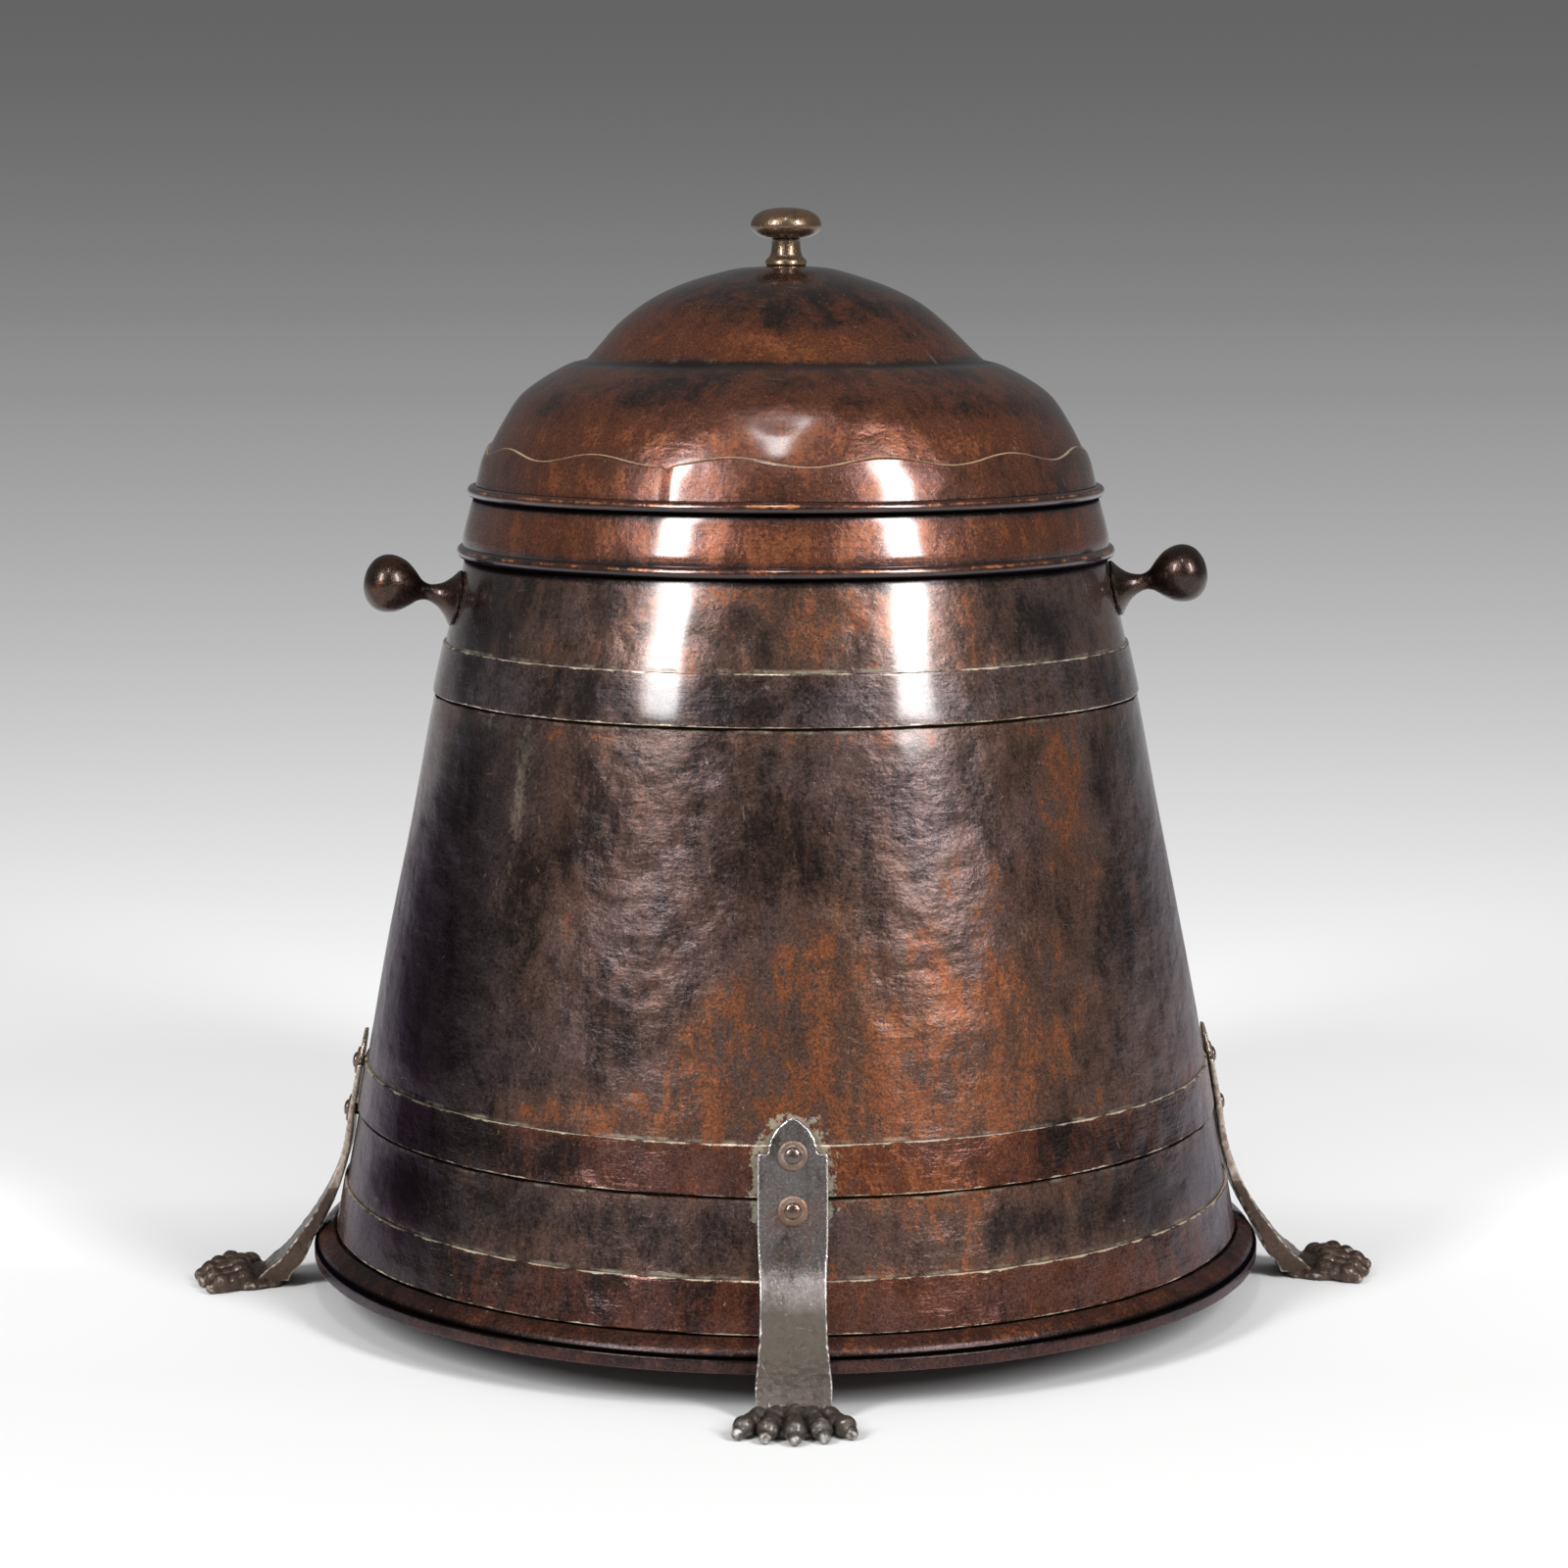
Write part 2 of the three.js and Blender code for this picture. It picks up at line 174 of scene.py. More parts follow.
def new_group(name, inputs, outputs):
    """An empty node group with inputs given as {name: number, or None for a place}, and number
    outputs."""
    tree = bpy.data.node_groups.new(name, "ShaderNodeTree")
    for label, value in inputs.items():
        kind = "NodeSocketVector" if value is None else "NodeSocketFloat"
        socket = tree.interface.new_socket(label, in_out="INPUT", socket_type=kind)
        if value is not None:
            socket.default_value = value
    for label in outputs:
        tree.interface.new_socket(label, in_out="OUTPUT", socket_type="NodeSocketFloat")
    return tree, tree.nodes.new("NodeGroupInput").outputs, tree.nodes.new("NodeGroupOutput").inputs


def use_group(tree, group, values):
    return new_node(tree, "ShaderNodeGroup", values, node_tree=group).outputs


# ------------------------------------------------------------------ shared surface effects

def make_patches():
    """Noise of four sizes: broad patches, a grey bloom, streaky mottling and fine specks."""
    tree, given, out = new_group(
        "patina_patches", {"Place": None, "Size": 1.0}, ["Patch", "Bloom", "Mottle", "Speck"])
    place = new_node(
        tree, "ShaderNodeVectorMath", {0: given["Place"], 3: given["Size"]}, operation="SCALE").outputs[0]
    patch = noise_at(tree, place, 11.0, 6.0, 0.62, 0.6)
    bloom = noise_at(tree, mapped(tree, place, shift=(3.1, 7.7, 1.9)), 19.0, 8.0, 0.66, 0.3)
    mottle = noise_at(tree, mapped(tree, place, scale=(86.0, 86.0, 34.0)), 1.0, 7.0, 0.7, 0.25)
    speck = noise_at(tree, mapped(tree, place, shift=(9.3, 2.2, 5.4)), 520.0, 3.0, 0.7)
    for value, name in ((patch, "Patch"), (bloom, "Bloom"), (mottle, "Mottle"), (speck, "Speck")):
        tree.links.new(value, out[name])
    return tree


def make_planishing():
    """Height of hammered sheet: overlapping hammer marks of two sizes, slow waves, fine grain and
    pits, and the fine lines left by rubbing it down round the body."""
    tree, given, out = new_group(
        "planished_height", {"Place": None, "Marks": 1.0, "Lines": 1.0}, ["Height"])
    place = given["Place"]
    wander = new_node(
        tree, "ShaderNodeTexNoise", {"Vector": place, "Scale": 28.0, "Detail": 2.0}).outputs["Color"]
    moved = new_node(
        tree, "ShaderNodeVectorMath", {0: wander, 1: (0.02, 0.02, 0.02), 2: place},
        operation="MULTIPLY_ADD").outputs[0]
    marks = None
    for scale, share in ((58.0, 1.0), (125.0, 0.35)):
        cells = new_node(
            tree, "ShaderNodeTexVoronoi", {"Vector": moved, "Scale": scale, "Smoothness": 1.0},
            feature="SMOOTH_F1").outputs["Distance"]
        cells = times(tree, cells, share)
        marks = cells if marks is None else add(tree, marks, cells)
    waves = noise_at(tree, mapped(tree, place, scale=(40.0, 40.0, 75.0)), 1.0, 4.0, 0.6)
    marks = times(tree, add(tree, marks, waves), given["Marks"])
    pits = between(tree, noise_at(tree, place, 800.0, 2.0), 0.62, 0.75, 0.0, -0.05)
    grain = times(tree, noise_at(tree, place, 380.0, 5.0, 0.7), 0.2)
    rough = add(tree, pits, grain)
    lines = noise_at(tree, mapped(tree, place, scale=(14.0, 14.0, 900.0)), 1.0, 3.0, 0.6)
    lines = times(tree, lines, times(tree, given["Lines"], 0.09))
    total = add(tree, add(tree, marks, rough), lines)
    tree.links.new(total, out["Height"])
    return tree


def make_scratches():
    """Fine scratches and rub marks in three directions."""
    tree, given, out = new_group("fine_scratches", {"Place": None, "Amount": 1.0}, ["Scratch"])
    place = given["Place"]
    total = None
    for turn, scale, low in (
        ((0.0, 0.15, 0.0), (460.0, 460.0, 24.0), 0.7),
        ((0.2, -0.1, 0.5), (48.0, 48.0, 800.0), 0.71),
        ((0.7, 0.5, 0.0), (600.0, 90.0, 70.0), 0.72),
    ):
        streak = noise_at(tree, mapped(tree, mapped(tree, place, turn=turn), scale=scale), 1.0, 2.0, 0.5)
        line = between(tree, streak, low, low + 0.05)
        total = line if total is None else maths(tree, "MAXIMUM", total, line)
    patchy = between(tree, noise_at(tree, place, 23.0, 3.0), 0.42, 0.62)
    scratch = times(tree, times(tree, total, patchy), given["Amount"])
    tree.links.new(scratch, out["Scratch"])
    return tree


def make_seam_line():
    """A level line at one height, broken up along its length: pale dirt at the seams, and painted shadow just
    under the bands.
    """
    inputs = {"Place": None, "Height": 0.1, "Width": 0.0015, "Cover": 0.5}
    tree, given, out = new_group("seam_dirt_and_shadow", inputs, ["Line"])
    height = part_of(tree, given["Place"], "Z")
    wobble = maths(tree, "SUBTRACT", noise_at(tree, given["Place"], 60.0, 3.0), 0.5)
    height = add(tree, height, times(tree, wobble, 0.002))
    away = maths(tree, "ABSOLUTE", maths(tree, "SUBTRACT", height, given["Height"]))
    near = maths(tree, "SUBTRACT", 1.0, maths(tree, "DIVIDE", away, given["Width"]), clamp=True)
    broken = noise_at(tree, given["Place"], 75.0, 5.0, 0.7)
    low = maths(tree, "SUBTRACT", 1.0, given["Cover"])
    share = between(tree, broken, times(tree, low, 0.85), add(tree, low, 0.2))
    tree.links.new(times(tree, near, share), out["Line"])
    return tree


PATCHES = make_patches()
PLANISHING = make_planishing()
SCRATCHES = make_scratches()
SEAM_LINE = make_seam_line()

# ------------------------------------------------------------------ finishes

SOOT = (0.012, 0.007, 0.005, 1.0)
BROWN = (0.082, 0.042, 0.026, 1.0)
RED_BROWN = (0.098, 0.029, 0.011, 1.0)
DARK_COPPER = (0.058, 0.02, 0.011, 1.0)
ORANGE = (0.172, 0.052, 0.015, 1.0)
GREY_BLOOM = (0.08, 0.06, 0.062, 1.0)
DIRT = (0.215, 0.205, 0.14, 1.0)
BRIGHT = (0.48, 0.24, 0.13, 1.0)
GILT = (0.6, 0.5, 0.37, 1.0)
SCRATCH_LIGHT = (0.38, 0.29, 0.2, 1.0)
# painted shade: black in the groove above the base ring, at the beads, in the lines just under the bands and
# where the flank blots are darkest
CREVICE_BLACK = (0.002, 0.0015, 0.001, 1.0)
# heights above the floor, in metres, between which the polish comes in
POLISH_FROM, POLISH_FULL = 0.19, 0.32
# heights above the floor, in metres, below which a foot is left rough as cast and its colour darkened as
# painted shade, and above which it is filed smooth
ROUGH_BELOW, FILED_ABOVE = 0.046, 0.062


def new_material(name):
    material = bpy.data.materials.new(name)
    material.use_nodes = True
    tree = material.node_tree
    shader = tree.nodes["Principled BSDF"]
    return material, tree, shader


def bumped(tree, shader, height, strength, distance):
    values = {"Height": height, "Strength": strength, "Distance": distance}
    feed(tree, shader, {"Normal": new_node(tree, "ShaderNodeBump", values).outputs[0]})


def copper_sheet(
        name, seams=(), gaps=(), field=BROWN, tint=0.0, shine=0.26, marks=1.0, bloom=0.35, lines=0.4,
        lit_edge=BRIGHT, chafe=2.6):
    """Old sheet copper with pale dirt at the seams and painted black shadow lines just under the bands, both
    lists of height, width and cover. It reads four painted attributes: rub, where the patina is worn to
    orange or, below zero, left dark, which also carries painted shade on the flanks, in the groove above the
    base ring and at the beads, black where strongest; dirt, pale residue; stain, a dull run; and edge,
    corners polished by handling, with a painted highlight along the beads' crests and the wavy collar's top
    edge."""
    material, tree, shader = new_material(name)
    place = object_place(tree)
    patch, grey, mottle, speck = use_group(tree, PATCHES, {"Place": place, "Size": 1.0})[:4]
    scratch = use_group(tree, SCRATCHES, {"Place": place, "Amount": 0.5})["Scratch"]

    def swing(value, amount):
        """Noise swung evenly to both sides of nothing."""
        return maths(tree, "MULTIPLY_ADD", value, amount, -0.5 * amount)

    def line_at(height, width, cover):
        values = {"Place": place, "Height": (height + CLEARANCE) * MM, "Width": width * MM, "Cover": cover}
        return use_group(tree, SEAM_LINE, values)["Line"]

    rub = attribute(tree, "rub")
    fleck = swing(speck, 0.9)
    drift = add(tree, add(tree, swing(patch, 1.2), swing(mottle, 2.3)), swing(grey, 0.7))
    # the rub attribute with noise: orange where high, soot-dark where low, which includes the painted shade
    worn = add(tree, add(tree, rub, drift), fleck)

    colour = mixed(tree, between(tree, add(tree, worn, swing(grey, 1.0)), -0.62, 0.36), SOOT, field)
    orange = between(tree, worn, 0.22 - tint, 0.66 - tint)
    spotty = add(tree, speck, swing(mottle, 1.6))
    orange = times(tree, orange, between(tree, spotty, 0.32, 0.76))
    colour = mixed(tree, orange, colour, ORANGE)
    film = add(tree, grey, swing(speck, 0.35))
    film = maths(tree, "SUBTRACT", film, times(tree, orange, 0.3))
    colour = mixed(tree, times(tree, between(tree, film, 0.42, 0.64), bloom), colour, GREY_BLOOM)
    colour = mixed(tree, times(tree, scratch, 0.4), colour, SCRATCH_LIGHT)
    # fine grain all over, as on sheet that was pickled and rubbed down many times
    grain = between(tree, noise_at(tree, place, 1050.0, 4.0, 0.8), 0.36, 0.66, 0.42, 1.62, "LINEAR")
    grain = new_node(tree, "ShaderNodeCombineXYZ", {0: grain, 1: grain, 2: grain}).outputs[0]
    colour = mixed(tree, 1.0, colour, grain, "MULTIPLY")

    stain = add(tree, attribute(tree, "stain"), add(tree, swing(mottle, 1.6), fleck))
    grime = add(tree, attribute(tree, "dirt"), swing(noise_at(tree, place, 260.0, 5.0, 0.75), 3.4))
    run = between(tree, stain, 0.35, 0.9, 0.0, 0.36)
    grime = maths(tree, "MAXIMUM", between(tree, grime, 0.55, 0.85), run)
    for seam in seams:
        grime = maths(tree, "MAXIMUM", grime, line_at(*seam))
    colour = mixed(tree, times(tree, grime, 0.75), colour, DIRT)

    broken = swing(noise_at(tree, place, 95.0, 6.0, 0.7), chafe)
    bright = between(tree, add(tree, attribute(tree, "edge"), broken), 0.55, 0.95)
    colour = mixed(tree, bright, colour, lit_edge)

    # painted shade, black: where the rub attribute falls far below zero, at the groove, the beads and the
    # darkest flank blots, and along the shadow lines just under the bands
    black = between(tree, rub, -1.9, -1.0, 1.0, 0.0)
    for gap in gaps:
        black = maths(tree, "MAXIMUM", black, times(tree, line_at(*gap), 1.6, clamp=True))
    colour = mixed(tree, times(tree, black, 0.92), colour, CREVICE_BLACK)

    matt = add(tree, swing(mottle, 0.3), swing(speck, 0.22))
    # the foot of the wall was never polished as the lid and the shoulder were
    level = part_of(tree, place, "Z")
    polish = between(tree, add(tree, level, swing(patch, 0.1)), POLISH_FROM, POLISH_FULL)
    matt = add(tree, matt, maths(tree, "MULTIPLY_ADD", polish, -0.01, 0.03))
    matt = maths(tree, "MULTIPLY_ADD", black, 0.5, matt)
    rough = add(tree, add(tree, matt, shine), times(tree, grime, 0.35))
    rough = add(tree, rough, times(tree, orange, 0.06))
    # where the rub attribute is low, from soot and from the painted shade, the sheet gets less coat and more
    # metal
    sooty = between(tree, rub, -1.2, -0.4, 1.0, 0.0)
    metal = maths(tree, "MULTIPLY_ADD", grime, -0.5, 0.5)
    metal = add(tree, metal, times(tree, sooty, 0.35))
    dull = add(tree, maths(tree, "MAXIMUM", grime, black), times(tree, sooty, 0.9))
    feed(tree, shader, {
        "Base Color": colour, "Roughness": rough, "Metallic": add(tree, metal, black, clamp=True),
        "Coat Weight": maths(tree, "SUBTRACT", polish, dull, clamp=True), "Coat Roughness": 0.13,
        "Coat IOR": 1.5, "Specular IOR Level": 0.7, "Specular Tint": (0.66, 0.6, 0.7, 1.0),
    })
    values = {"Place": place, "Marks": marks, "Lines": lines}
    height = use_group(tree, PLANISHING, values)["Height"]
    height = maths(tree, "SUBTRACT", height, times(tree, scratch, 0.04))
    bumped(tree, shader, add(tree, height, times(tree, grime, 0.12)), 0.75, 0.0012)
    return material


def cast_metal(name, dark, mid, high, shine, grain=1.0, metallic=0.8, low_rough=False, coat=0.0):
    """Cast or turned metal, dark in the hollows and polished where hands and floors rub it.
    The lower strap and the paw can be left rougher as they were cast, with the lower strap's colour darkened
    as painted shade, a little less in the paw."""
    material, tree, shader = new_material(name)
    place = object_place(tree)
    patch, grey, mottle, speck = use_group(tree, PATCHES, {"Place": place, "Size": 2.0})[:4]
    scratch = use_group(tree, SCRATCHES, {"Place": place, "Amount": 0.8})["Scratch"]
    edge, hollow = attribute(tree, "edge"), attribute(tree, "hollow")
    colour = mixed(tree, between(tree, add(tree, patch, mottle), 0.68, 1.1), dark, mid)
    warm = times(tree, between(tree, add(tree, grey, mottle), 1.04, 1.16), 0.35)
    colour = mixed(tree, warm, colour, ORANGE)
    colour = mixed(tree, times(tree, between(tree, speck, 0.5, 0.75), 0.3), colour, high)
    if low_rough:
        height = part_of(tree, place, "Z")
        ragged = maths(tree, "MULTIPLY_ADD", mottle, 0.012, height)
        # painted shade: below the first height the lower strap's colour goes dark, a little less in the paw
        shade = between(tree, ragged, ROUGH_BELOW, 0.058, 0.9, 0.0)
        shade = times(tree, shade, between(tree, height, 0.014, 0.026, 0.8, 1.0))
        colour = mixed(tree, shade, colour, dark)
    colour = mixed(tree, times(tree, between(tree, hollow, 0.06, 0.42), 0.85), colour, SOOT)
    nick = maths(tree, "MULTIPLY_ADD", noise_at(tree, place, 260.0, 4.0), 1.1, -0.55)
    bright = between(tree, add(tree, edge, nick), 0.3, 0.9)
    bright = maths(tree, "MAXIMUM", bright, times(tree, scratch, 0.4))
    colour = mixed(tree, bright, colour, high)
    rough = maths(tree, "MULTIPLY_ADD", speck, 0.22, shine - 0.05)
    rough = add(tree, rough, times(tree, hollow, 0.25))
    pitted = times(tree, noise_at(tree, place, 480.0, 6.0, 0.75), grain)
    if low_rough:
        low = between(tree, height, ROUGH_BELOW, FILED_ABOVE, 1.0, 0.25)
        pitted = times(tree, pitted, low)
        rough = add(tree, rough, times(tree, low, 0.16))
        rough = maths(tree, "SUBTRACT", rough, times(tree, bright, 0.12))
    feed(tree, shader, {
        "Base Color": colour, "Roughness": rough, "Metallic": metallic, "Coat Weight": coat,
        "Coat Roughness": 0.09,
    })
    bumped(tree, shader, pitted, 0.7, 0.0008)
    return material


def floor_material():
    """Pale studio floor whose colour deepens with distance: painted shade for the light falling off along a
    long sweep.
    """
    material, tree, shader = new_material("studio_floor")
    back = part_of(tree, object_place(tree), "Y")
    first, last = FLOOR_TONES[0][0], FLOOR_TONES[-1][0]
    # the fourth root spreads the near stops out along the ramp
    share = maths(tree, "POWER", between(tree, back, first, last, kind="LINEAR"), 0.25)
    ramp = new_node(tree, "ShaderNodeValToRGB", {0: share})
    for i, (distance, tone) in enumerate(FLOOR_TONES):
        spot = ((distance - first) / (last - first)) ** 0.25
        stops = ramp.color_ramp.elements
        element = stops[i] if i < 2 else stops.new(spot)
        element.position = spot
        element.color = (tone, tone, tone, 1.0)
    feed(tree, shader, {"Base Color": ramp.outputs[0], "Roughness": 1.0, "Specular IOR Level": 0.0})
    return material


def make_world():
    """Even fill from all round, and a grey backdrop that darkens upwards for the camera and for
    reflections."""
    world = bpy.data.worlds.new("studio")
    bpy.context.scene.world = world
    world.use_nodes = True
    tree = world.node_tree
    tree.nodes.clear()
    way = new_node(tree, "ShaderNodeTexCoord").outputs["Generated"]
    rise = part_of(tree, way, "Z")
    low = maths(tree, "POWER", between(tree, rise, -0.0157, 0.0656, 1.0, 0.0, "LINEAR"), 1.5)
    grey = maths(tree, "MULTIPLY_ADD", low, 0.118, 0.127)
    path = new_node(tree, "ShaderNodeLightPath").outputs
    seen = maths(tree, "MAXIMUM", path["Is Camera Ray"], path["Is Transmission Ray"])
    seen = maths(tree, "MAXIMUM", seen, path["Is Glossy Ray"])
    backdrop = new_node(tree, "ShaderNodeBackground", {"Color": grey})
    fill = new_node(tree, "ShaderNodeBackground", {"Color": (1.0, 1.0, 1.0, 1.0), "Strength": FILL})
    mix = new_node(tree, "ShaderNodeMixShader", {0: seen, 1: fill.outputs[0], 2: backdrop.outputs[0]})
    new_node(tree, "ShaderNodeOutputWorld", {0: mix.outputs[0]})


def make_floor():
    bm = bmesh.new()
    bmesh.ops.create_circle(bm, cap_ends=True, segments=96, radius=FLOOR_RADIUS)
    mesh = bpy.data.meshes.new("floor")
    bm.to_mesh(mesh)
    bm.free()
    floor = bpy.data.objects.new("floor", mesh)
    mesh.materials.append(floor_material())
    bpy.context.scene.collection.objects.link(floor)


# ------------------------------------------------------------------ the shell's own shape

WALL = [(6.9, 206.4), (50, 198.2), (130, 184), (200, 169.8), (262, 157.4), (318, 144.3), (339, 139.4)]
SHEET = 1.2

FEET = [
    ("front", 270.8, "tucked"), ("right", 2.0, "splayed"),
    ("back", 90.8, "tucked"), ("left", 182.0, "splayed"),
]
HANDLES = [("left", 190.0, 300.3), ("right", -6.0, 303.9)]
RIVETS = {"upper": 86.1, "lower": 63.9}

# Knocks in the sheet: azimuth, height, width, height of the mark, depth (inwards is negative).
DENTS = [
    (263.5, 176, 5, 4, 0.6), (255, 164, 20, 5, -0.35), (252, 169, 5, 5, 0.5),
    (257, 122, 30, 16, -0.4), (280, 150, 34, 30, -0.45), (285, 215, 26, 22, -0.5),
    (244, 205, 40, 34, -0.5), (262, 236, 26, 16, 0.5), (300, 176, 30, 40, 0.7),
    (292, 128, 16, 14, 0.6), (232, 140, 30, 40, 0.8), (275, 300, 22, 14, -0.7),
    (257, 306, 16, 12, 0.5), (289, 308, 18, 10, -0.5), (268, 47, 40, 10, -0.4),
    (315, 110, 40, 30, -0.6), (20, 180, 60, 60, -1.1), (55, 120, 40, 30, 0.9),
    (75, 220, 50, 50, -1.0), (110, 150, 60, 44, -1.0), (140, 230, 40, 40, 0.8),
    (160, 110, 36, 30, -0.8), (215, 250, 30, 26, -0.6), (340, 240, 40, 40, 0.7),
    (182, 424, 62, 17, 2.8), (291, 425, 15, 7, -1.6), (262, 430, 22, 12, 0.8),
    (275, 415, 12, 6, -0.8), (240, 418, 18, 9, -0.8), (268, 385, 16, 8, -0.9),
    (256, 380, 18, 8, 0.6), (284, 384, 18, 9, 0.7), (300, 392, 22, 9, -0.8),
    (275, 352, 14, 8, -0.5), (30, 420, 30, 12, -1.2), (120, 395, 34, 12, 1.0),
    (180, 428, 24, 10, -1.0),
]

# Worn or sooty places on the shell: azimuth, height, half width and half height, strength. The three tall
# dark blots, at azimuths 196, 213 and 328, are painted shade that darkens and dulls the flanks, standing in
# for the dark surroundings they reflect.
RUBBED = [
    (282, 128, 62, 34, 0.75), (296, 110, 40, 26, 0.55), (300, 160, 34, 34, 0.35),
    (316, 236, 14, 22, 0.75), (318, 200, 20, 30, 0.4), (262, 100, 44, 9, 0.5),
    (240, 97, 34, 8, 0.6), (270, 150, 30, 26, 0.25), (228, 62, 26, 12, 0.3),
    (236, 46, 40, 9, 0.4), (262, 56, 26, 8, 0.3), (213, 40, 60, 30, -0.9), (284, 76, 30, 9, 0.6),
    (300, 60, 40, 14, 0.45), (246, 290, 22, 14, 0.65), (273, 300, 18, 22, 0.6),
    (292, 306, 30, 14, 0.65), (256, 316, 30, 7, 0.6), (228, 296, 18, 18, 0.15),
    (206, 290, 26, 26, -0.6), (196, 145, 52, 100, -0.65), (318, 296, 24, 16, -0.6),
    (264, 268, 90, 8, -0.35), (213, 170, 46, 110, -1.0), (222, 90, 60, 50, -0.85),
    (262, 200, 30, 36, -0.1), (288, 225, 34, 20, -0.1), (328, 130, 40, 110, -0.35),
    (346, 40, 44, 34, -0.7), (250, 50, 60, 18, -0.25), (318, 60, 60, 40, -0.35),
    (270, 128, 12, 26, -0.5), (262, 60, 26, 10, -0.4), (290, 88, 16, 12, -0.5),
    (300, 52, 20, 8, -0.5), (306, 92, 14, 14, -0.5), (244, 395, 22, 14, -0.3),
    (258, 412, 22, 7, 0.75), (277, 413, 24, 6, 0.65), (270, 436, 60, 16, -0.45),
    (270, 374, 130, 7, 0.5), (240, 356, 46, 8, 0.65), (290, 356, 60, 8, 0.35),
    (270, 334, 200, 10, 0.4), (20, 140, 60, 50, 0.6), (60, 220, 40, 40, 0.5),
    (100, 110, 70, 40, 0.6), (130, 200, 50, 60, -0.5), (160, 160, 50, 40, 0.6),
    (190, 230, 40, 30, 0.5), (350, 200, 50, 60, -0.5), (75, 60, 80, 16, 0.5),
    (140, 60, 60, 16, 0.6), (10, 52, 50, 14, 0.5), (90, 300, 90, 16, 0.4), (60, 400, 40, 14, 0.5),
    (170, 410, 40, 12, 0.5),
]

# Rings right round the shell where the sheet is rubbed or darkened: height, half height, strength. The strong
# dark rings are painted shade: at 6.8 in the groove between the base ring and the collar, at 318.0 and 344.7
# over the lower parts of the beads and the sheet just below them, and at 324.1 and 351.4 at the beads' upper
# roots; the one at 404.9 darkens the crown's crease.
WORN_RINGS = [
    (404.9, 1.5, -0.9), (6.8, 1.2, -2.4), (344.7, 1.5, -2.4), (351.4, 0.8, -1.5),
    (324.1, 0.8, -1.5), (318.0, 1.7, -2.4), (413, 6, 0.3), (374, 10, 0.25), (332, 10, 0.25),
    (284, 4, 0.25), (254, 5, 0.32), (95, 5, 0.3), (66, 4, 0.3), (38.5, 4, 0.25), (10, 4, 0.2),
    (100, 26, 0.12), (42, 34, 0.02),
]

# Dull runs down the sheet, laid out as the worn places are.
STAINS = [
    (226.7, 226, 5.5, 38, 0.66), (226.0, 250, 6, 12, 0.3), (100.0, 180, 8, 50, 0.5), (20.0, 230, 6, 40, 0.5),
]


def along(table, value):
    """The table's second column at a value of the first, in straight lines between rows."""
    rows = sorted(table)
    for (x0, y0), (x1, y1) in zip(rows, rows[1:]):
        if value <= x1 or (x1, y1) == rows[-1]:
            return y0 + (y1 - y0) * (value - x0) / (x1 - x0)


def wall_radius(height):
    return along(WALL, height)


def turn_between(first, second):
    """Signed angle from the second azimuth to the first, in degrees, within half a turn."""
    return (first - second + 180.0) % 360.0 - 180.0


def azimuth_of(point):
    return math.degrees(math.atan2(point.y, point.x)) % 360.0


def round_shell(places):
    """Azimuth, radius and height above the base for each row of an array of places."""
    x, y, z = places.T
    return np.degrees(np.arctan2(y, x)), np.hypot(x, y) / MM, z / MM - CLEARANCE


def blots(places, spots):
    """The soft marks on the shell added up, at each place."""
    azimuth, radius, level = round_shell(places)
    total = np.zeros(len(places))
    for turn, height, width, tall, strength in spots:
        across = np.radians((azimuth - turn + 180.0) % 360.0 - 180.0) * radius
        total += strength * np.exp(-((across / width) ** 2) - ((level - height) / tall) ** 2)
    return total


# Above this height, in metres, the shell's outward direction leans up as the dome's does.
DOME_FOOT = 0.365
DOME_LEAN = 1.4
# The straps are this half width, and their leaf ends close in below this height.
STRAP_HALF = 14.6
LEAF_TIP = 102.0


def dented(places):
    """The places pushed in and out by planishing and by knocks, square to the shell. Round the
    castings that are riveted to it the sheet stays true."""
    held = [(azimuth, 75, 30, 34, 1.3) for _, azimuth, _ in FEET]
    held += [(azimuth, height, 22, 20, 1.3) for _, azimuth, height in HANDLES]
    push = blots(places, DENTS)
    points = [Vector(place) for place in places]
    push += 0.5 * np.array([noise.noise(point * 8.0) for point in points])
    push += 0.32 * np.array([noise.noise(point * 21.0 + Vector((4, 1, 7))) for point in points])
    push += 0.1 * np.array([noise.noise(point * 60.0 + Vector((2, 9, 3))) for point in points])
    push *= 1.0 - np.minimum(blots(places, held), 1.0)
    out = np.array(places)
    out[:, 2] = np.maximum(out[:, 2] - DOME_FOOT, 0.0) * DOME_LEAN
    out /= np.maximum(np.linalg.norm(out, axis=1), 1e-6)[:, None]
    return places + out * push[:, None] * MM


# the rub attribute: worn places, and the painted shade of the flank blots and the dark rings
def rubbed(places):
    level = round_shell(places)[2]
    rings = sum(strength * np.exp(-((level - height) / tall) ** 2) for height, tall, strength in WORN_RINGS)
    return blots(places, RUBBED) + rings


def residue(places):
    """Pale flux and polish left round the straps' leaf ends and the handles' flanges."""
    azimuth, radius, level = round_shell(places)
    found = 0.8 * blots(places, [(turn, height, 15, 15, 1.0) for _, turn, height in HANDLES])
    half = STRAP_HALF * np.sqrt(np.clip((LEAF_TIP + 2.0 - level) / 17.0, 0.0, 1.0))
    for _, turn, _ in FEET:
        across = np.abs(np.radians((azimuth - turn + 180.0) % 360.0 - 180.0)) * radius
        beyond = np.hypot(np.maximum(across - half, 0.0), np.maximum(level - LEAF_TIP, 0.0))
        near = np.exp(-((beyond / 4.2) ** 2)) * np.clip((level - 46.0) / 16.0, 0.0, 1.0)
        found = np.maximum(found, 0.85 * near)
    return found


# ------------------------------------------------------------------ modelling helpers

BODIES = {node: body for body, nodes in frame["record"]["behaviour"]["bodies"].items() for node in nodes}


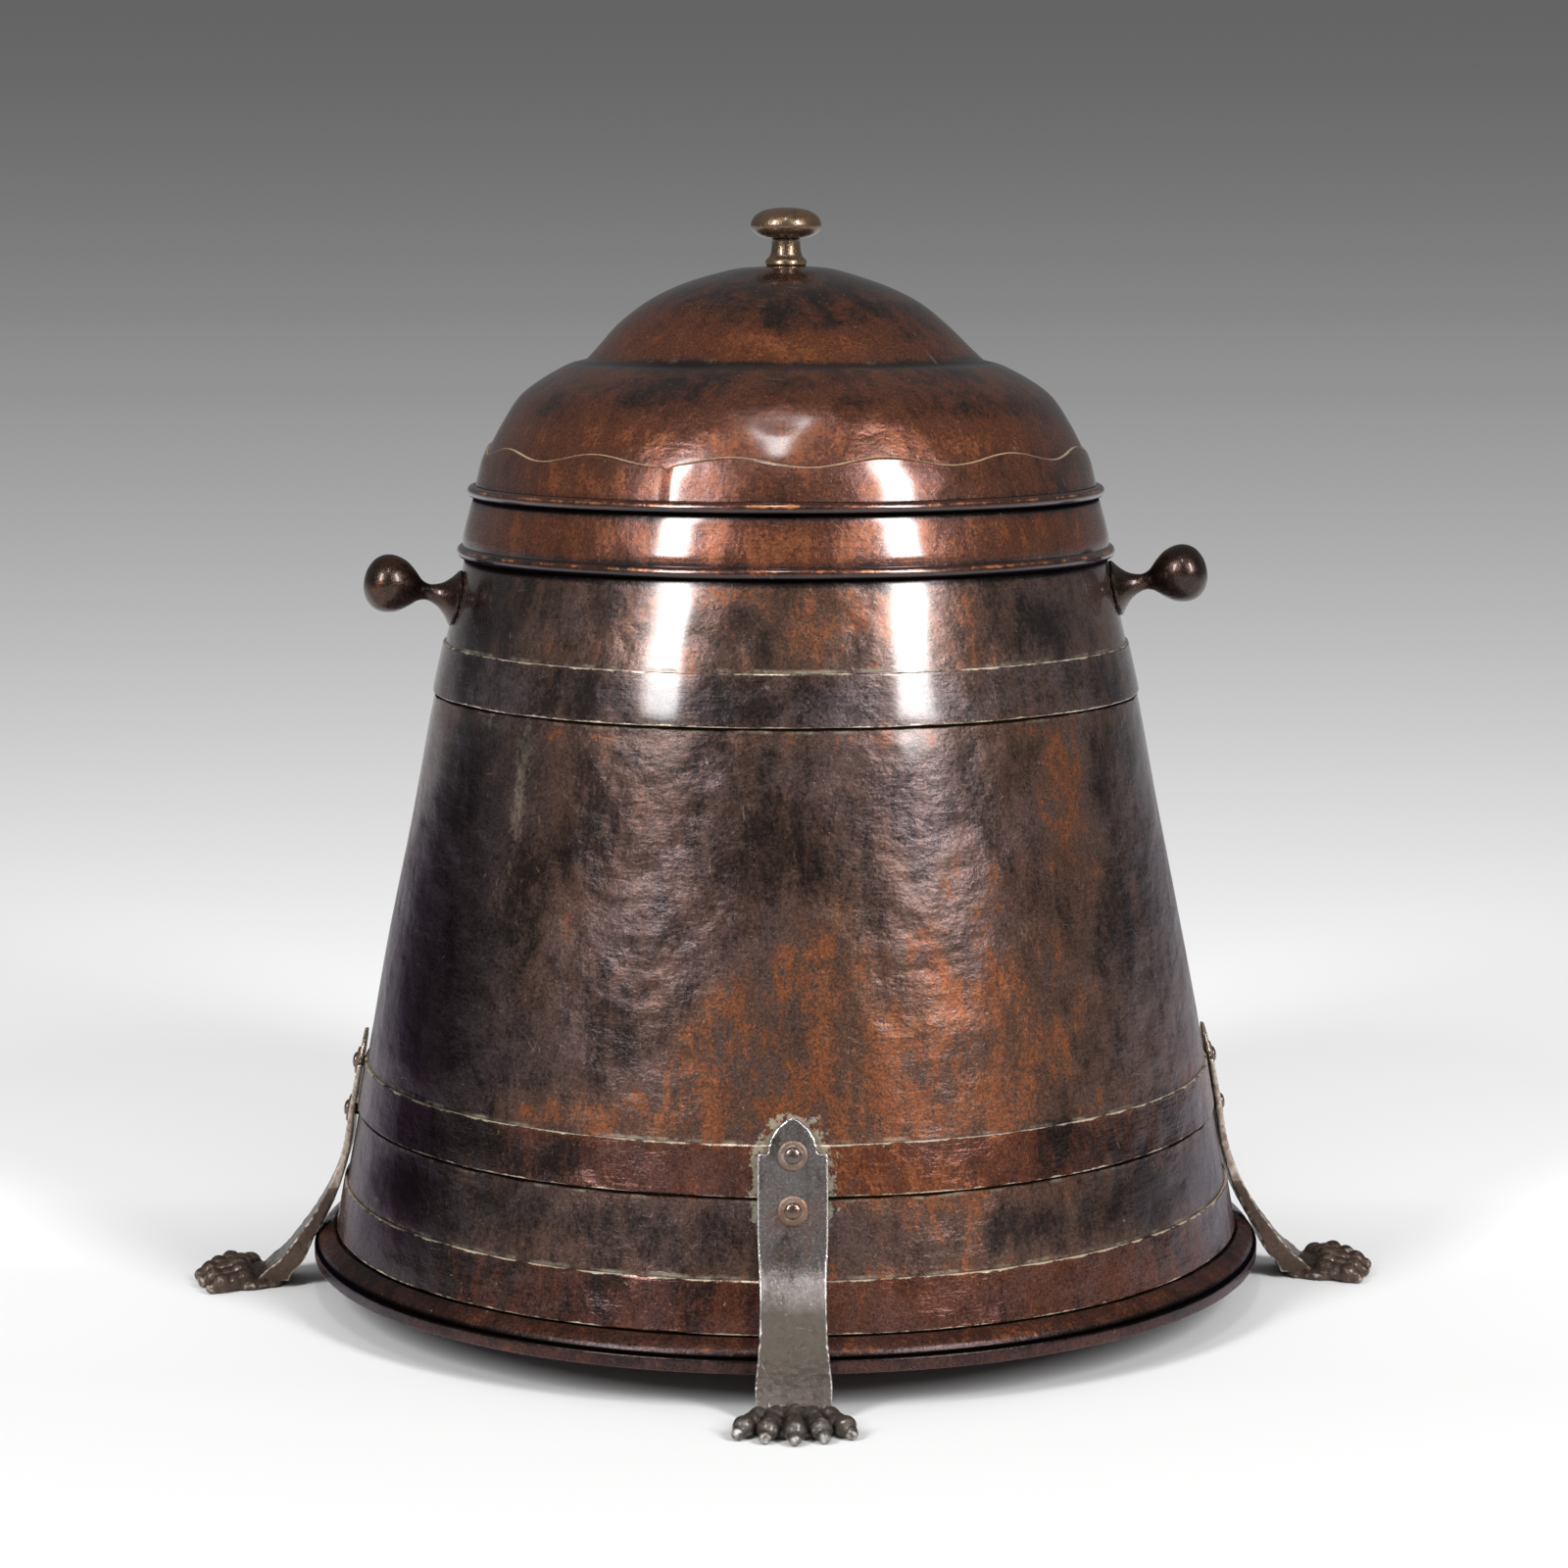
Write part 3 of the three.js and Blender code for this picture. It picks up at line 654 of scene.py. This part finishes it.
def curved(points, step):
    """Points about a step apart on a smooth line through the given ones."""
    ends = [points[0], *points, points[-1]]
    line = []
    for a, b, c, d in zip(ends, ends[1:], ends[2:], ends[3:]):
        count = max(1, round(math.dist(b, c) / step))
        for i in range(count):
            t = i / count
            line.append(tuple(
                0.5 * (2 * q + (r - p) * t + (2 * p - 5 * q + 4 * r - s) * t ** 2
                       + (3 * q - p - 3 * r + s) * t ** 3)
                for p, q, r, s in zip(a, b, c, d)))
    return [*line, tuple(points[-1])]


def arc(centre, radius, start, end, count):
    turns = [math.radians(start + (end - start) * i / count) for i in range(count + 1)]
    return [(centre[0] + radius * math.cos(t), centre[1] + radius * math.sin(t)) for t in turns]


def inset_line(points, depth):
    """The line a depth inside an outline that is listed upwards with the outside on its right."""
    line = []
    for i, (radius, height) in enumerate(points):
        before, after = points[max(i - 1, 0)], points[min(i + 1, len(points) - 1)]
        run, rise = after[0] - before[0], after[1] - before[1]
        size = math.hypot(run, rise) or 1.0
        line.append((radius - depth * rise / size, height + depth * run / size))
    return line


def turned(outline, steps=96, lift=CLEARANCE):
    """A bmesh turned about +Z from (radius, height) points, as a closed ring or from axis to axis."""
    bm = bmesh.new()
    verts = [bm.verts.new((radius * MM, 0.0, (height + lift) * MM)) for radius, height in outline]
    pairs = list(zip(verts, verts[1:]))
    if outline[0][0] > 0:
        pairs.append((verts[-1], verts[0]))
    edges = [bm.edges.new(pair) for pair in pairs]
    bmesh.ops.spin(
        bm, geom=verts + edges, cent=(0, 0, 0), axis=(0, 0, 1), angle=2 * math.pi, steps=steps,
        use_merge=True)
    bmesh.ops.remove_doubles(bm, verts=bm.verts, dist=2e-6)
    bmesh.ops.recalc_face_normals(bm, faces=bm.faces)
    return bm


def places_of(bm):
    return np.array([v.co[:] for v in bm.verts])


def paint(mesh, name, values):
    layer = mesh.attributes.new(name, "FLOAT", "POINT")
    layer.data.foreach_set("value", np.asarray(values, dtype=np.float32))


def relief(bm, rounds=2, gain=1.0):
    """How far each vertex stands above its neighbours, in edge lengths, smoothed."""
    bm.normal_update()
    bm.verts.index_update()
    near = [[edge.other_vert(v).index for edge in v.link_edges] for v in bm.verts]
    values = []
    for v in bm.verts:
        around = [edge.other_vert(v).co for edge in v.link_edges]
        middle = sum(around, Vector()) / len(around)
        size = sum((co - v.co).length for co in around) / len(around)
        values.append(gain * (v.co - middle).dot(v.normal) / max(size, 1e-7))
    for _ in range(rounds):
        values = [0.5 * x + 0.5 * sum(values[i] for i in ring) / len(ring) for x, ring in zip(values, near)]
    return values


def painted(bm, name, shell=False, worn=None, gain=1.0, sharp=38.0):
    """A mesh from a bmesh with its wear painted on. shell adds the sheet's rubbed places and painted shade,
    residue and runs; the given edge function of azimuth, radius and height gives the bright edge, which on
    the beads' crests and the wavy collar's top is a painted highlight, else how far a vertex stands out from
    its neighbours does."""
    bmesh.ops.recalc_face_normals(bm, faces=bm.faces)
    swell = np.array(relief(bm, gain=gain))
    places = places_of(bm)
    none = np.zeros(len(places))
    mesh = bpy.data.meshes.new(name)
    bm.to_mesh(mesh)
    bm.free()
    paint(mesh, "edge", worn(*round_shell(places)) if worn else np.maximum(swell, 0.0))
    paint(mesh, "hollow", np.maximum(-swell, 0.0))
    paint(mesh, "rub", rubbed(places) if shell else none)
    paint(mesh, "dirt", residue(places) if shell else none)
    paint(mesh, "stain", blots(places, STAINS) if shell else none)
    mesh.shade_smooth()
    mesh.set_sharp_from_angle(angle=math.radians(sharp))
    return mesh


def placed(mesh, node, material):
    """The finished piece, in the place of a CAD node and riding on its body."""
    mesh.materials.append(material)
    piece = bpy.data.objects.new(f"{node}_look", mesh)
    bpy.context.scene.collection.objects.link(piece)
    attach(piece, BODIES[node])
    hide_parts(node)


def fitted(bm, node, material, **wear):
    placed(painted(bm, f"{node}_look", **wear), node, material)


def dent(bm):
    for v, place in zip(bm.verts, dented(places_of(bm))):
        v.co = place
    return bm


def unworn(azimuth, radius, height):
    return np.zeros(len(height))


def wall_slope(height):
    return math.atan((wall_radius(height - 1) - wall_radius(height + 1)) / 2)


def wall_place(azimuth, height):
    """The matrix that stands a piece on the wall, its +Z square out from the copper."""
    return (
        Matrix.Rotation(math.radians(azimuth), 4, "Z")
        @ Matrix.Translation((wall_radius(height) * MM, 0, (height + CLEARANCE) * MM))
        @ Matrix.Rotation(math.pi / 2 - wall_slope(height), 4, "Y"))


# ------------------------------------------------------------------ bin

CURL = (136.3, 341.2)
UPPER_BAND = (258.3, 280.2)
LOWER_BAND = (69.2, 90.1)
BOTTOM_BAND = (13.9, 35.4)
BAND_SHEET = 1.1
RING_STEPS = 360
# how far a side of the 36-sided solid wall lies inside its corners, as a share of the radius, and
# its radius near the handles
FACET_RISE = 1 - math.cos(math.radians(5))
SOLID_WALL = 157.4


def make_wall(material):
    outside = curved([(r, h) for h, r in WALL], 5.0)
    inside = curved([(r - SHEET, h) for h, r in reversed(WALL)], 16.0)
    curl = [*arc(CURL, 3.0, 0, 240, 12), *arc(CURL, 1.8, 240, 0, 10)]
    bm = dent(turned([*outside, *curl, *inside], RING_STEPS))
    fitted(bm, "body_wall", material, shell=True, worn=unworn)


def band_outline(low, high, proud=0.12):
    """Section of a strip on the wall: rounded corners, with rows close to them for the wear."""
    def face(height, depth):
        return (wall_radius(height) + proud + depth, height)
    corner = 0.35
    rows = [low + corner, low + 1.2, low + 3.0, *[low + (high - low) * i / 6 for i in (2, 3, 4)],
            high - 3.0, high - 1.2, high - corner]
    front = [face(height, BAND_SHEET) for height in rows]
    shoulder = BAND_SHEET - corner
    return [face(low, 0.0), face(low, shoulder), *front, face(high, shoulder), face(high, 0.0)]


def make_band(node, low, high, material):
    bm = turned(band_outline(low, high), RING_STEPS)
    # the cut edges waver a little, and the middle of the strip doesn't
    for v in bm.verts:
        height = v.co.z / MM - CLEARANCE
        side = 1.0 if height > (low + high) / 2 else -1.0
        near = max(0.0, 1.0 - min(abs(height - low), abs(height - high)) / 3.0)
        v.co.z += near * 0.45 * MM * noise.noise(Vector((v.co.x * 30, v.co.y * 30, side * 5)))

    def worn(azimuth, radius, height):
        return np.maximum(0.0, 1.0 - np.minimum(np.abs(height - low), np.abs(height - high)))
    fitted(dent(bm), node, material, shell=True, worn=worn)


def make_base(sheet, trim):
    ring = [
        (204.5, 0.3), (205.2, 0), (214.6, 0),
        *arc((214.9, 1.6), 1.5, -70, 0, 4), *arc((214.9, 5.0), 1.5, 0, 80, 5),
        (205.2, 6.6), (204.5, 6.3),
    ]
    fitted(dent(turned(ring, RING_STEPS)), "base_ring", sheet, shell=True, gain=1.5)
    outer = curved([(214.9, 6.9), (213.9, 9.0), (211.4, 11.3), (207.8, 13.4)], 1.0)
    inner = curved([(206.5, 12.6), (210.6, 10.4), (212.7, 8.3), (213.6, 6.9)], 1.0)
    fitted(dent(turned([*outer, *inner], RING_STEPS)), "base_collar", sheet, shell=True, gain=1.5)
    plate = [
        (0, 9.5), (80, 9.6), (160, 9.5), (202.2, 9.5), (202.9, 8.8), (202.9, 3), (204.1, 3), (204.1, 10.0),
        (203.4, 10.7), (160, 10.7), (80, 10.8), (0, 10.7),
    ]
    fitted(turned(plate, 192), "bottom_plate", sheet, shell=True)
    wire = arc(CURL, 1.5, 0, 330, 11)
    fitted(dent(turned(wire, RING_STEPS)), "rim_wire", trim)


def make_handle(side, azimuth, height, bronze, trim):
    # a flat washer touches the round wall at its rim, so it stands off by its own rise
    washer_rise = 81 / 300
    reach = SHEET + SOLID_WALL * FACET_RISE + washer_rise + 0.3
    washer_back = -reach - 1.5
    peen = washer_back - 0.3
    outline = [
        (0, peen - 2.4), *curved([(2.4, peen - 2.3), (4.6, peen - 1.9), (5.7, peen - 0.9), (5.8, peen)], 0.6),
        (3.6, peen), (3.6, 0.2), (12.4, 0.2), (12.6, 0.8), (12.5, 1.5),
        *curved([(11.6, 2.3), (8.6, 4.6), (5.6, 8.0), (4.0, 11.8), (3.75, 14.2), (4.9, 17.4), (8.6, 21.4),
                 (11.6, 25.8), (12.9, 31), (12.2, 35.6), (9.4, 39.4), (4.9, 41.7), (1.4, 42.3)], 1.1),
        (0, 42.35),
    ]
    place = wall_place(azimuth, height)
    bm = turned(outline, 64, 0.0)
    bm.transform(place)
    fitted(bm, f"handle_{side}", bronze, gain=2.0)
    washer = turned([
        (4.2, washer_back + 0.2), (4.5, washer_back), (8.6, washer_back), (9, washer_back + 0.4),
        (9, -reach - 0.3), (8.7, -reach), (4.2, -reach),
    ], 48, 0.0)
    washer.transform(place)
    fitted(washer, f"handle_washer_{side}", trim, gain=1.5)


# ------------------------------------------------------------------ feet

STRAP_FACE = [(102.3, 192.6), (90, 194.9), (70, 198.9), (50, 202.4)]
ANKLES = {
    "splayed": [(38.5, 206), (28, 210.6), (17, 217.1), (6, 225.1), (-3, 232.4), (-8.6, 239.5), (-13, 243)],
    "tucked": [(38.5, 206), (28, 210.4), (17, 216.6), (7, 221.9), (-3, 224.6), (-8.6, 227), (-13, 230.5)],
}
INSTEPS = {"splayed": 239.5, "tucked": 227}
THICKNESS = {
    "splayed": [
        (102.3, 1.9), (87, 2.2), (60, 3), (38.5, 4), (28, 5.2), (17, 6.6), (6, 8.2), (-3, 11.5), (-13, 15)],
    "tucked": [
        (102.3, 1.9), (87, 2.2), (60, 3), (38.5, 4), (28, 5), (17, 5.6), (7, 5), (-3, 7.8), (-13, 12.5)],
}
HALF_WIDTH = [
    (-13, 14.6), (-8, 15.6), (0, 15.5), (14, 14.2), (32, 13.7), (56, STRAP_HALF), (87.0, STRAP_HALF),
]
TOES = (-30.0, -14.5, 0.0, 14.5, 30.0)
VOXEL = 0.00062


def strap(ankle):
    """The bent bar, from its leaf-shaped tip on the wall down into the instep."""
    front = sorted(curved(sorted(STRAP_FACE + ANKLES[ankle]), 2.0))
    bm = bmesh.new()
    side = [(half, height) for height, half in curved(HALF_WIDTH, 3.0)]
    leaf = curved([(10.2, 87.4), (9.9, 91.0), (8.0, 95.4), (4.4, 99.4), (0.0, 102.3)], 1.2)
    right = [*side, (14.3, 87.5), *leaf]
    left = [(-across, height) for across, height in reversed(right[:-1])]
    ring = [bm.verts.new((0.0, across, height)) for across, height in [*right, *left]]
    face = bm.faces.new(ring)
    extruded = bmesh.ops.extrude_face_region(bm, geom=[face])
    for item in extruded["geom"]:
        if isinstance(item, bmesh.types.BMVert):
            item.co.x = 1.0
    for height in range(-12, 102, 2):
        bmesh.ops.bisect_plane(
            bm, geom=bm.verts[:] + bm.edges[:] + bm.faces[:], plane_co=(0, 0, height), plane_no=(0, 0, 1))
    for v in bm.verts:
        v.co.x = along(front, v.co.z) - v.co.x * along(THICKNESS[ankle], v.co.z)
    bmesh.ops.recalc_face_normals(bm, faces=bm.faces)
    return bm


def lump(bm, place, size, turn=0.0, pitch=0.0, shift=0.0):
    """A rounded lump of the casting, fanned out by turn degrees from a root beside the centre."""
    matrix = (
        Matrix.Translation((0, shift, 0)) @ Matrix.Rotation(math.radians(turn), 4, "Z")
        @ Matrix.Translation(place) @ Matrix.Rotation(pitch, 4, "Y") @ Matrix.Diagonal((*size, 1)))
    bmesh.ops.create_uvsphere(bm, u_segments=24, v_segments=16, radius=1.0, matrix=matrix)


def paw(bm, instep):
    """Pad, knuckles, toes and claws, set forward of the instep, with the floor at zero."""
    parts = bmesh.new()
    lump(parts, (8.0, 0, 2.2), (16.0, 19.6, 5.2))
    lump(parts, (-3.5, 0, 2.4), (6.5, 15.2, 5.2))
    for turn in TOES:
        out = abs(turn) / 30.0
        root = turn * 0.32
        lump(parts, (12.4 - 2.0 * out, 0, 6.8 - 2.0 * out), (5.6, 4.0, 5.0), turn, 0.1, root)
        lump(parts, (19.2 - 3.0 * out, 0, 5.2 - 0.8 * out), (6.4, 4.1, 4.2), turn, 0.2, root)
        lump(parts, (25.8 - 4.2 * out, 0, 4.9 - 0.5 * out), (4.5, 4.7, 4.7), turn, 0.2, root)
        lump(parts, (30.2 - 4.4 * out, 0, 3.2 - 0.2 * out), (3.3, 2.9, 2.9), turn, 0.4, root)
    bmesh.ops.translate(parts, verts=parts.verts, vec=(instep, 0, -CLEARANCE))
    held = bpy.data.meshes.new("paw_lumps")
    parts.to_mesh(held)
    parts.free()
    bm.from_mesh(held)
    bpy.data.meshes.remove(held)


def fused(bm):
    """One skin round all the lumps, as a casting has, flat where it meets the floor."""
    mesh = bpy.data.meshes.new("casting")
    for v in bm.verts:
        v.co = Vector((v.co.x, v.co.y, v.co.z + CLEARANCE)) * MM
    bm.to_mesh(mesh)
    bm.free()
    holder = bpy.data.objects.new("casting", mesh)
    bpy.context.scene.collection.objects.link(holder)
    modifier = holder.modifiers.new("skin", "REMESH")
    modifier.mode = "VOXEL"
    modifier.voxel_size = VOXEL
    skin = bpy.data.meshes.new_from_object(holder.evaluated_get(bpy.context.evaluated_depsgraph_get()))
    bpy.data.objects.remove(holder)
    bm = bmesh.new()
    bm.from_mesh(skin)
    bpy.data.meshes.remove(skin)
    for _ in range(3):
        bmesh.ops.smooth_vert(
            bm, verts=bm.verts, factor=0.5, use_axis_x=True, use_axis_y=True, use_axis_z=True)
    # the strap is filed smooth above this height, and below it the casting grows uneven
    for v in bm.verts:
        low = max(0.0, min(1.0, (FILED_ABOVE - v.co.z) / 0.03))
        v.co += v.normal * low * 0.22 * MM * noise.noise(v.co * 420.0)
        v.co.z = max(v.co.z, 0.0)
    return bm


def rim_worn(mesh):
    """The strap's two long edges rubbed bright."""
    places = np.empty(len(mesh.vertices) * 3)
    mesh.vertices.foreach_get("co", places)
    x, across, z = places.reshape(-1, 3).T / MM
    height = z - CLEARANCE
    half = np.interp(height, *zip(*HALF_WIDTH))
    rim = np.clip(1.0 - np.abs(np.abs(across) - half + 0.35) / 0.75, 0.0, 1.0)
    rim *= (height > 30.0) * (height < 87.0)
    edge = mesh.attributes["edge"].data
    values = np.empty(len(height))
    edge.foreach_get("value", values)
    edge.foreach_set("value", np.maximum(values, 1.1 * rim).astype(np.float32))


def make_feet(grey, brown):
    castings = {}
    for ankle in ANKLES:
        bm = strap(ankle)
        paw(bm, INSTEPS[ankle])
        castings[ankle] = painted(fused(bm), f"casting_{ankle}", gain=5.0, sharp=60.0)
        rim_worn(castings[ankle])
    for name, azimuth, ankle in FEET:
        mesh = castings[ankle].copy()
        mesh.transform(Matrix.Rotation(math.radians(azimuth), 4, "Z"))
        placed(mesh, f"foot_{name}", brown if ankle == "splayed" else grey)
    for mesh in castings.values():
        bpy.data.meshes.remove(mesh)


def make_fasteners(steel, copper):
    for name, azimuth, _ in FEET:
        for level, height in RIVETS.items():
            slope = wall_slope(height)
            out = (along(sorted(STRAP_FACE), height) - wall_radius(height)) * math.cos(slope) + 0.15
            seat = out + 1.1
            inside = -(SHEET + wall_radius(height) * FACET_RISE + 0.4)
            place = wall_place(azimuth, height)
            rise = np.linspace(0.1, math.pi / 2, 8)
            head = [(3.6 * math.cos(t), seat + 0.2 + 1.6 * math.sin(t)) for t in rise]
            rivet = turned([
                (0, inside - 1.8), (2.4, inside - 1.6), (3.7, inside - 0.9), (4, inside), (2.6, inside),
                (2.6, seat - 0.1), (3.6, seat - 0.1), *head[:-1], (0, head[-1][1]),
            ], 32, 0.0)
            rivet.transform(place)
            fitted(rivet, f"rivet_{name}_{level}", steel, gain=1.5)
            washer = turned([
                (3.0, out), (6.2, out), (6.3, out + 0.5), (5.9, out + 0.95), (5.2, seat), (3.0, seat),
            ], 32, 0.0)
            washer.transform(place)
            fitted(washer, f"washer_{name}_{level}", copper, gain=1.5)


# ------------------------------------------------------------------ lid

CROWN = [
    (3.4, 446.8), (12, 446.4), (24, 445), (44, 438.8), (60, 431), (72, 421.5), (82, 411.6), (87.6, 406.3),
]
SHOULDER = [
    (88.6, 405.4), (92, 404.6), (98, 402.8), (110, 396.4), (119.5, 389), (127, 377.8), (132, 368.5),
    (135.4, 360.5), (138, 350), (138, 344.7),
]
WAVES = 13
WAVE_ROOT = 358.0
WAVE_TOP = 366.5
WAVE_HEIGHT = 2.0
WAVE_PHASE = -9.8
SEAM = 248.4
MM_PER_DEGREE = 2.35


def lapped(bm, azimuth, step, reach):
    """A lap joint: past the seam the sheet lies over its own other end and sinks back to it."""
    for v in bm.verts:
        past = math.radians(turn_between(azimuth_of(v.co), azimuth)) * math.hypot(v.co.x, v.co.y) / MM
        if 0.0 <= past < reach:
            out = Vector((v.co.x, v.co.y, 0.0)).normalized()
            v.co += out * step * (1.0 - past / reach) * MM
    return bm


def make_dome(sheet):
    skin = [*curved(CROWN, 3.0), *curved(SHOULDER, 2.6)]
    upward = list(reversed(skin))
    under = inset_line(upward, SHEET)
    under[-1] = (3.4, 445.5)
    fitted(dent(turned([*upward, *reversed(under)], RING_STEPS)), "lid_dome", sheet, shell=True, worn=unworn)


def make_wavy_collar(strip):
    bore = sorted((h, r) for r, h in SHOULDER)
    rows = [350.3, 354, 358, 361.5, 364, 365.4, 366.1, WAVE_TOP]
    outer = [(along(bore, h) + 0.3 + (1.1 if h < WAVE_TOP - 0.3 else 0.7), h) for h in rows]
    inner = [(along(bore, h) + 0.25, h) for h in (WAVE_TOP, 361.5, 356, 350.3)]
    bm = turned([*outer, *inner], WAVES * 28)

    def wave(azimuth):
        return WAVE_HEIGHT * np.cos(WAVES * np.radians(azimuth - FRONT - WAVE_PHASE))
    for v in bm.verts:
        height = v.co.z / MM - CLEARANCE
        share = max(0.0, (height - WAVE_ROOT) / (WAVE_TOP - WAVE_ROOT))
        from_seam = turn_between(azimuth_of(v.co), SEAM) * MM_PER_DEGREE
        notch = 1.6 * math.exp(-((from_seam / 2.2) ** 2))
        rise = (float(wave(azimuth_of(v.co))) - notch) * share
        draw = along(bore, height + rise) - along(bore, height)
        out = Vector((v.co.x, v.co.y, 0)).normalized()
        v.co += out * draw * MM + Vector((0, 0, rise * MM))

    # painted highlight: a bright line along the collar's wavy top edge
    def wavy_edge(azimuth, radius, height):
        top = WAVE_TOP + wave(azimuth)
        return np.maximum(0.0, 1.0 - np.abs(height - top) / 1.2)
    fitted(dent(lapped(bm, SEAM, 0.7, 16)), "lid_wavy_collar", strip, shell=True, worn=wavy_edge)


def make_skirt(strip, trim):
    """The skirt and the two half-round beads, on its seam with the dome and on its lower edge."""
    outer = [
        (145.2, 323.4), (145.15, 326), (144.1, 331), (142.2, 338), (141.0, 342.4), (140.2, 344.2),
        (139.6, 345.4), (139.5, 349.9),
    ]
    inner = [(138.3, 349.9), (138.3, 344.6), (139.4, 343.0), (141.0, 338), (142.9, 331), (144, 323.4)]
    bm = dent(turned([*curved(outer, 2.5), *inner], RING_STEPS))
    fitted(bm, "lid_skirt", strip, shell=True, worn=unworn)
    for node, inner, outer, low, high in (
        ("lid_bead", 139.7, 143.0, 344.9, 350.1), ("lid_rim_bead", 144.8, 147.9, 318.0, 323.4),
    ):
        half = (high - low) / 2
        bead = [(inner, low), *arc((outer - half, low + half), half, -90, 90, 12), (inner, high)]
        bm = turned(bead, RING_STEPS)

        # painted highlight: a bright line along the upper part of each bead
        def crest(azimuth, radius, height, top=high - 1.5):
            return np.maximum(0.0, 1.0 - np.abs(height - top) / 1.3) * 0.8
        fitted(dent(bm), node, trim, shell=True, worn=crest)


def make_knob(brass, trim):
    tail = curved([(2.6, 440.3), (4.6, 440.8), (5.4, 441.7), (5.4, 442.4)], 0.5)
    neck = curved([(8.6, 450.2), (7.5, 451.2), (6.8, 453.2), (6.4, 456), (6.4, 458.4)], 0.8)
    cap = curved([
        (10.2, 459.6), (13.6, 461.2), (15.6, 463.6), (15.7, 466.0), (14.2, 469.0), (10.6, 471.4),
        (5.6, 472.6), (1.6, 472.9),
    ], 0.9)
    knob = [
        (0, 440.2), *tail, (2.9, 442.5), (2.9, 447.0), (8.5, 447.0), (9.3, 447.8), (9.3, 449.2),
        *neck, (7.0, 459.2), *cap, (0, 472.9),
    ]
    fitted(turned(knob, 72), "knob", brass, gain=2.0)
    washer = turned([(3.4, 442.8), (8, 442.8), (8.2, 443.5), (7.9, 444.4), (3.4, 444.4)], 48)
    fitted(washer, "knob_washer", trim)


# ------------------------------------------------------------------ the scene

make_camera()
make_softboxes()
make_world()
make_floor()

wall_seams = [(h + 0.7, 1.3, 0.5) for h in (UPPER_BAND[1], LOWER_BAND[1], BOTTOM_BAND[1])]
wall_seams += [(h - 1.9, 1.2, 0.45) for h in (UPPER_BAND[0], LOWER_BAND[0])]
# painted shadow: black lines just under each band's lower edge
wall_gaps = [(h - 0.7, 1.1, 0.75) for h in (UPPER_BAND[0], LOWER_BAND[0], BOTTOM_BAND[0])]
copper_wall = copper_sheet("wall_copper", wall_seams, wall_gaps)
band_copper = copper_sheet("band_copper", bloom=0.75, lines=1.4, lit_edge=GILT)
foot_band_copper = copper_sheet(
    "foot_band_copper", field=RED_BROWN, tint=-0.05, shine=0.2, bloom=0.3, lines=1.2, lit_edge=GILT)
lid_copper = copper_sheet(
    "lid_copper", [(406.5, 2.0, 0.38)], field=RED_BROWN, tint=-0.16, shine=0.24, bloom=0.08)
collar_copper = copper_sheet(
    "lid_strip_copper", field=RED_BROWN, tint=-0.1, shine=0.24, marks=0.6, bloom=0.16, lines=1.6,
    lit_edge=(0.64, 0.48, 0.29, 1.0), chafe=0.5)
trim_copper = copper_sheet(
    "bead_copper", field=DARK_COPPER, tint=-0.1, shine=0.18, marks=0.4, bloom=0.1,
    lit_edge=(0.4, 0.15, 0.06, 1.0))
base_copper = copper_sheet(
    "base_copper", field=DARK_COPPER, tint=0.02, shine=0.24, marks=0.6, bloom=0.15, lines=1.0,
    lit_edge=(0.34, 0.15, 0.07, 1.0), chafe=2.0)
paw_bronze = cast_metal(
    "paw_bronze", (0.056, 0.044, 0.032, 1), (0.21, 0.184, 0.18, 1), (0.74, 0.71, 0.69, 1),
    shine=0.16, low_rough=True, coat=0.4)
brown_paw_bronze = cast_metal(
    "brown_paw_bronze", (0.056, 0.034, 0.024, 1), (0.165, 0.108, 0.08, 1), (0.6, 0.52, 0.44, 1),
    shine=0.24, low_rough=True, coat=0.3)
handle_bronze = cast_metal(
    "handle_bronze", (0.014, 0.009, 0.008, 1), (0.04, 0.024, 0.019, 1), (0.2, 0.13, 0.1, 1),
    shine=0.2, grain=0.3, metallic=0.85, coat=0.35)
knob_brass = cast_metal(
    "knob_brass", (0.06, 0.038, 0.022, 1), (0.15, 0.095, 0.055, 1), (0.38, 0.26, 0.15, 1),
    shine=0.2, grain=0.3, metallic=0.7, coat=0.5)
rivet_steel = cast_metal(
    "rivet_steel", (0.04, 0.026, 0.02, 1), (0.11, 0.082, 0.066, 1), (0.5, 0.45, 0.42, 1),
    shine=0.16, grain=0.3, coat=1.0)
washer_copper = cast_metal(
    "washer_copper", (0.09, 0.056, 0.042, 1), (0.215, 0.145, 0.112, 1), (0.52, 0.42, 0.35, 1),
    shine=0.3, grain=0.5)

make_wall(copper_wall)
make_band("upper_band", *UPPER_BAND, band_copper)
make_band("lower_band", *LOWER_BAND, foot_band_copper)
make_band("bottom_band", *BOTTOM_BAND, foot_band_copper)
make_base(base_copper, trim_copper)
for side, azimuth, height in HANDLES:
    make_handle(side, azimuth, height, handle_bronze, trim_copper)
make_feet(paw_bronze, brown_paw_bronze)
make_fasteners(rivet_steel, washer_copper)
make_dome(lid_copper)
make_wavy_collar(collar_copper)
make_skirt(collar_copper, trim_copper)
make_knob(knob_brass, trim_copper)

bpy.context.scene.view_settings.view_transform = "Standard"
